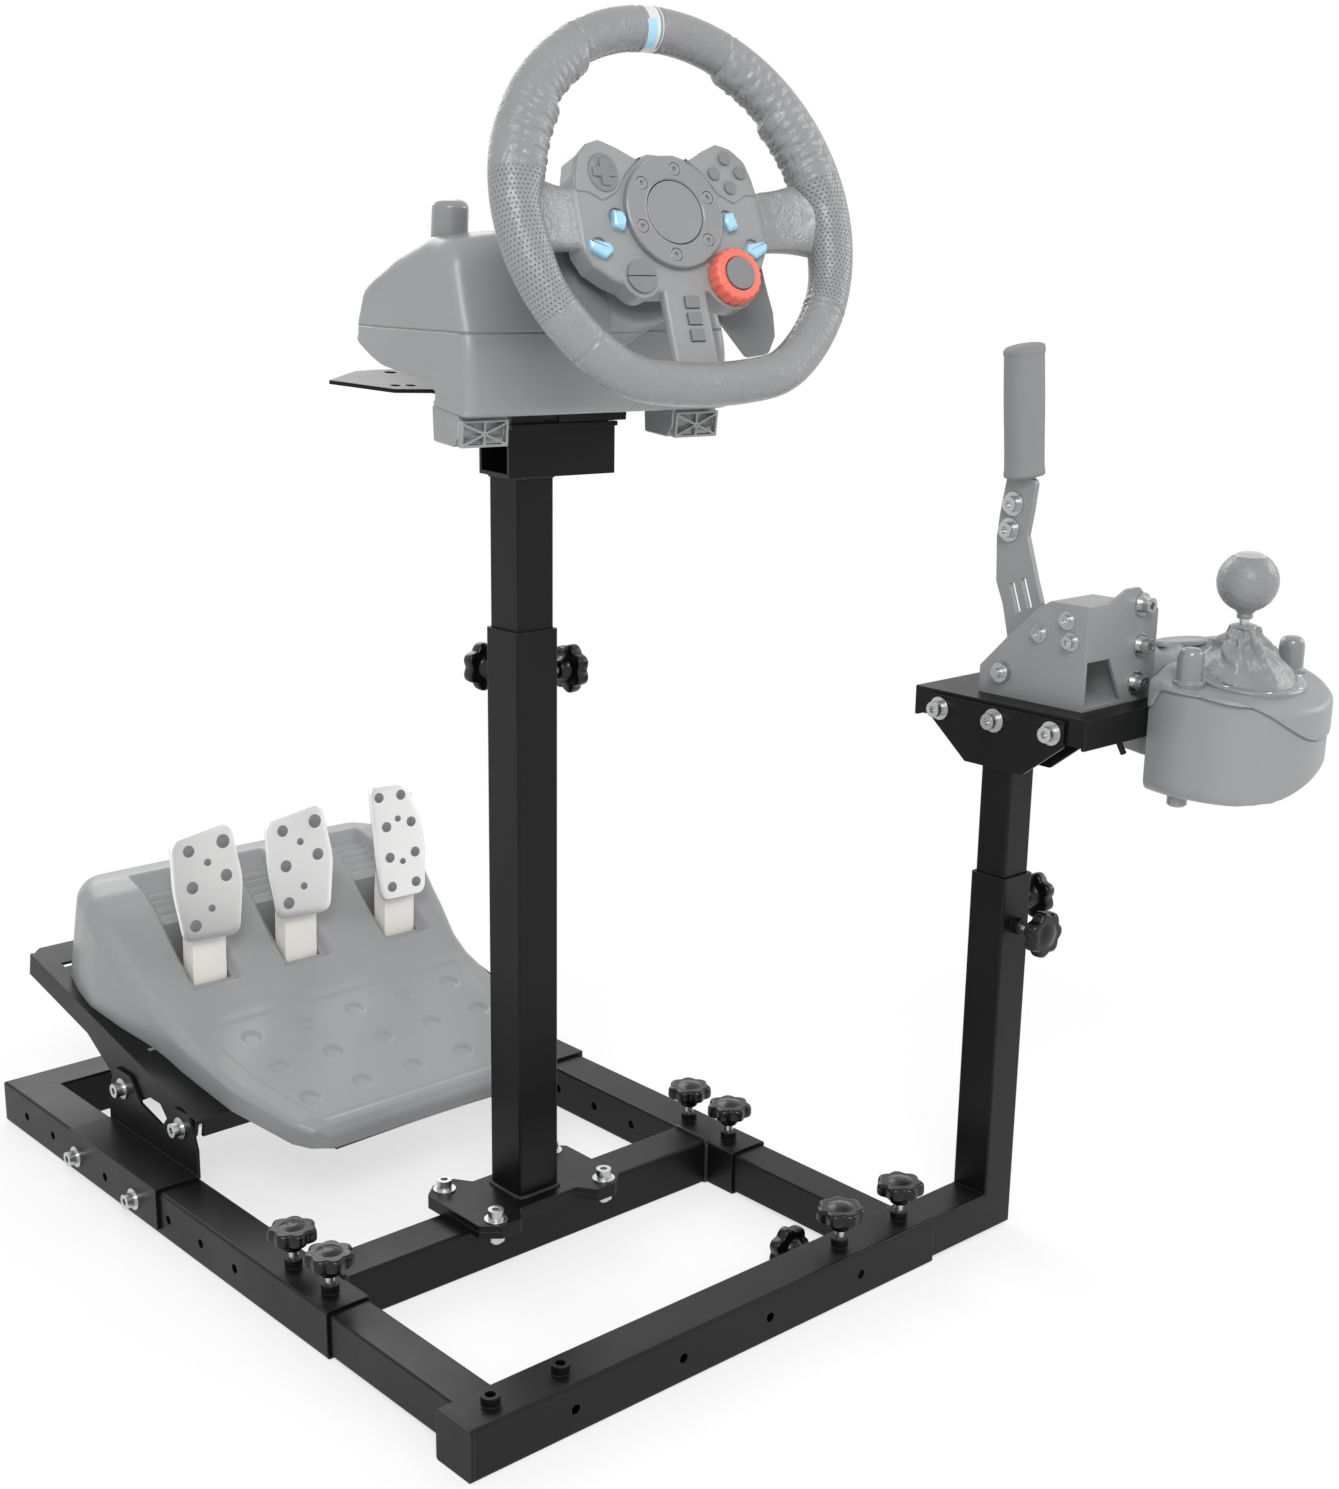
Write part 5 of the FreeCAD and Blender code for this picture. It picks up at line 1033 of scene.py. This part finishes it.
class COCKPIT_OT_stage(bpy.types.Operator):
    """Makes the floor, the lamps, the sky and the camera at the photograph's view"""
    bl_idname = "cockpit.stage"
    bl_label = "Stage and camera"

    def execute(self, context):
        scene, k = context.scene, context.scene.cockpit_stage
        scene.view_settings.view_transform = "Standard"
        world = bpy.data.worlds.new("studio_sky")
        world.use_nodes = True
        t = world.node_tree
        t.nodes.clear()
        path = add(world, "LightPath")
        camera, glossy, through = (path.outputs[q + " Ray"] for q in ("Is Camera", "Is Glossy",
            "Is Transmission"))
        seen = add(world, "Math", {0: camera, 1: through}, operation="MAXIMUM").outputs[0]
        seen = add(world, "Math", {0: seen, 1: glossy}, operation="MAXIMUM").outputs[0]
        power = add(world, "MapRange", {"Value": seen, "To Min": 0.64, "To Max": 1.0}).outputs[0]
        sky = add(world, "Background", {"Color": (1, 1, 1, 1), "Strength": power})
        add(world, "OutputWorld", {"Surface": sky.outputs[0]})
        scene.world = world
        mat, co = started("studio_floor_paint")
        path = add(mat, "LightPath")
        mottle = add(mat, "TexNoise", {"Vector": co, "Scale": 9.0, "Detail": 2.0}).outputs["Fac"]
        rough = add(mat, "MapRange", {"Value": mottle, "To Min": 0.75, "To Max": 0.95}).outputs[0]
        paint = add(mat, "BsdfPrincipled", {"Base Color": picked(k.floor_colour), "Roughness": rough,
            "Specular IOR Level": 0.1}).outputs[0]
        glow = add(mat, "Emission", {"Color": (1, 1, 1, 1), "Strength": 1.0}).outputs[0]
        camera, glossy = path.outputs["Is Camera Ray"], path.outputs["Is Glossy Ray"]
        seen = add(mat, "Math", {0: camera, 1: glossy}, operation="MAXIMUM").outputs[0]
        # near the object the floor shows its shadows; further out it fades to white
        far = add(mat, "VectorMath", {0: co}, operation="LENGTH").outputs["Value"]
        fade = add(mat, "MapRange", {"Value": far, "From Min": 0.55, "From Max": 1.1, "To Min": 0.66,
            "To Max": 1.0}, interpolation_type="SMOOTHSTEP").outputs[0]
        part = add(mat, "Math", {0: seen, 1: fade}, operation="MULTIPLY").outputs[0]
        STUFF["floor_paint"] = finished(mat, add(mat, "MixShader", {0: part, 1: paint, 2: glow}))
        r = np.array([0.001, 1.0, 2.5, 6.0, 20.0, 60.0])[:, None]
        a = once_round(96)[None]
        disc = np.stack([r * np.cos(a), r * np.sin(a), np.full_like(r * a, -0.0006)], -1)
        floor = piece("studio_floor", [skin(disc, ends=False)], None, "floor_paint")
        if floor.data.polygons[0].normal.z < 0:
            floor.data.flip_normals()
        for name, spot, size, power in (("key_lamp", (-1.7, -2.2, 2.6), 1.5, 1.0), ("fill_lamp",
                (2.8, -1.4, 1.8), 1.8, 0.4), ("rim_lamp", (0.8, 2.6, 2.2), 2.2, 0.55)):
            lamp = bpy.data.lights.new(name, "AREA")
            lamp.shape, lamp.size, lamp.energy = "DISK", size, power * k.lamp_power
            o = bpy.data.objects.new(name, lamp)
            o.location = spot
            o.rotation_euler = (Vector((0.1, 0, 0.4)) - Vector(spot)).to_track_quat("-Z", "Y").to_euler()
            scene.collection.objects.link(o)
        # the camera stands where the photograph was taken
        az, el, roll = math.radians(41.39), math.radians(15.36), math.radians(0.59)
        ahead = Vector((math.sin(az) * math.cos(el), math.cos(az) * math.cos(el), -math.sin(el)))
        right = Vector((math.cos(az), -math.sin(az), 0))
        up = right.cross(ahead)
        right, up = math.cos(roll) * right + math.sin(roll) * up, -math.sin(roll) * right + math.cos(
            roll) * up
        cam = bpy.data.cameras.new("photo_camera")
        cam.sensor_fit, cam.sensor_width = "AUTO", SENSOR
        cam.lens = SENSOR * FOCAL / PHOTO_TALL
        cam.shift_x = (PHOTO_WIDE / 2 - CENTRE[0]) / PHOTO_TALL
        cam.shift_y = (CENTRE[1] - PHOTO_TALL / 2) / PHOTO_TALL
        cam.clip_start, cam.clip_end = 0.05, 200.0
        o = bpy.data.objects.new("photo_camera", cam)
        m = Matrix((right, up, -ahead)).transposed().to_4x4()
        m.translation = Vector((-0.9400, -1.1950, 0.8071))
        o.matrix_world = m
        scene.collection.objects.link(o)
        scene.camera = o
        return {"FINISHED"}


class COCKPIT_PT_panel(bpy.types.Panel):
    """The cockpit's pieces and settings"""
    bl_idname = "COCKPIT_PT_panel"
    bl_label = "Racing cockpit"
    bl_space_type = "VIEW_3D"
    bl_region_type = "UI"
    bl_category = "Cockpit"

    def draw(self, context):
        for group in (context.scene.cockpit_looks, context.scene.cockpit_stage):
            for key in group.__annotations__:
                self.layout.prop(group, key)
        for op in OPERATORS:
            self.layout.operator(op.bl_idname)


OPERATORS = (COCKPIT_OT_stage, COCKPIT_OT_frame, COCKPIT_OT_pedals, COCKPIT_OT_handbrake,
    COCKPIT_OT_shifter, COCKPIT_OT_wheel)
CLASSES = (CockpitLooks, CockpitStageSettings) + OPERATORS + (COCKPIT_PT_panel,)


def register():
    for cls in CLASSES:
        bpy.utils.register_class(cls)
    bpy.types.Scene.cockpit_looks = bpy.props.PointerProperty(type=CockpitLooks)
    bpy.types.Scene.cockpit_stage = bpy.props.PointerProperty(type=CockpitStageSettings)


def unregister():
    del bpy.types.Scene.cockpit_stage
    del bpy.types.Scene.cockpit_looks
    for cls in reversed(CLASSES):
        bpy.utils.unregister_class(cls)


def main():
    for o in list(bpy.data.objects):
        if o.name in ("Cube", "Light", "Camera"):
            bpy.data.objects.remove(o)
    register()
    make_materials()
    for op in OPERATORS:
        group, name = op.bl_idname.split(".")
        if getattr(getattr(bpy.ops, group), name)() != {"FINISHED"}:
            raise RuntimeError(op.bl_idname + " did not finish")


if __name__ == "__main__":
    main()
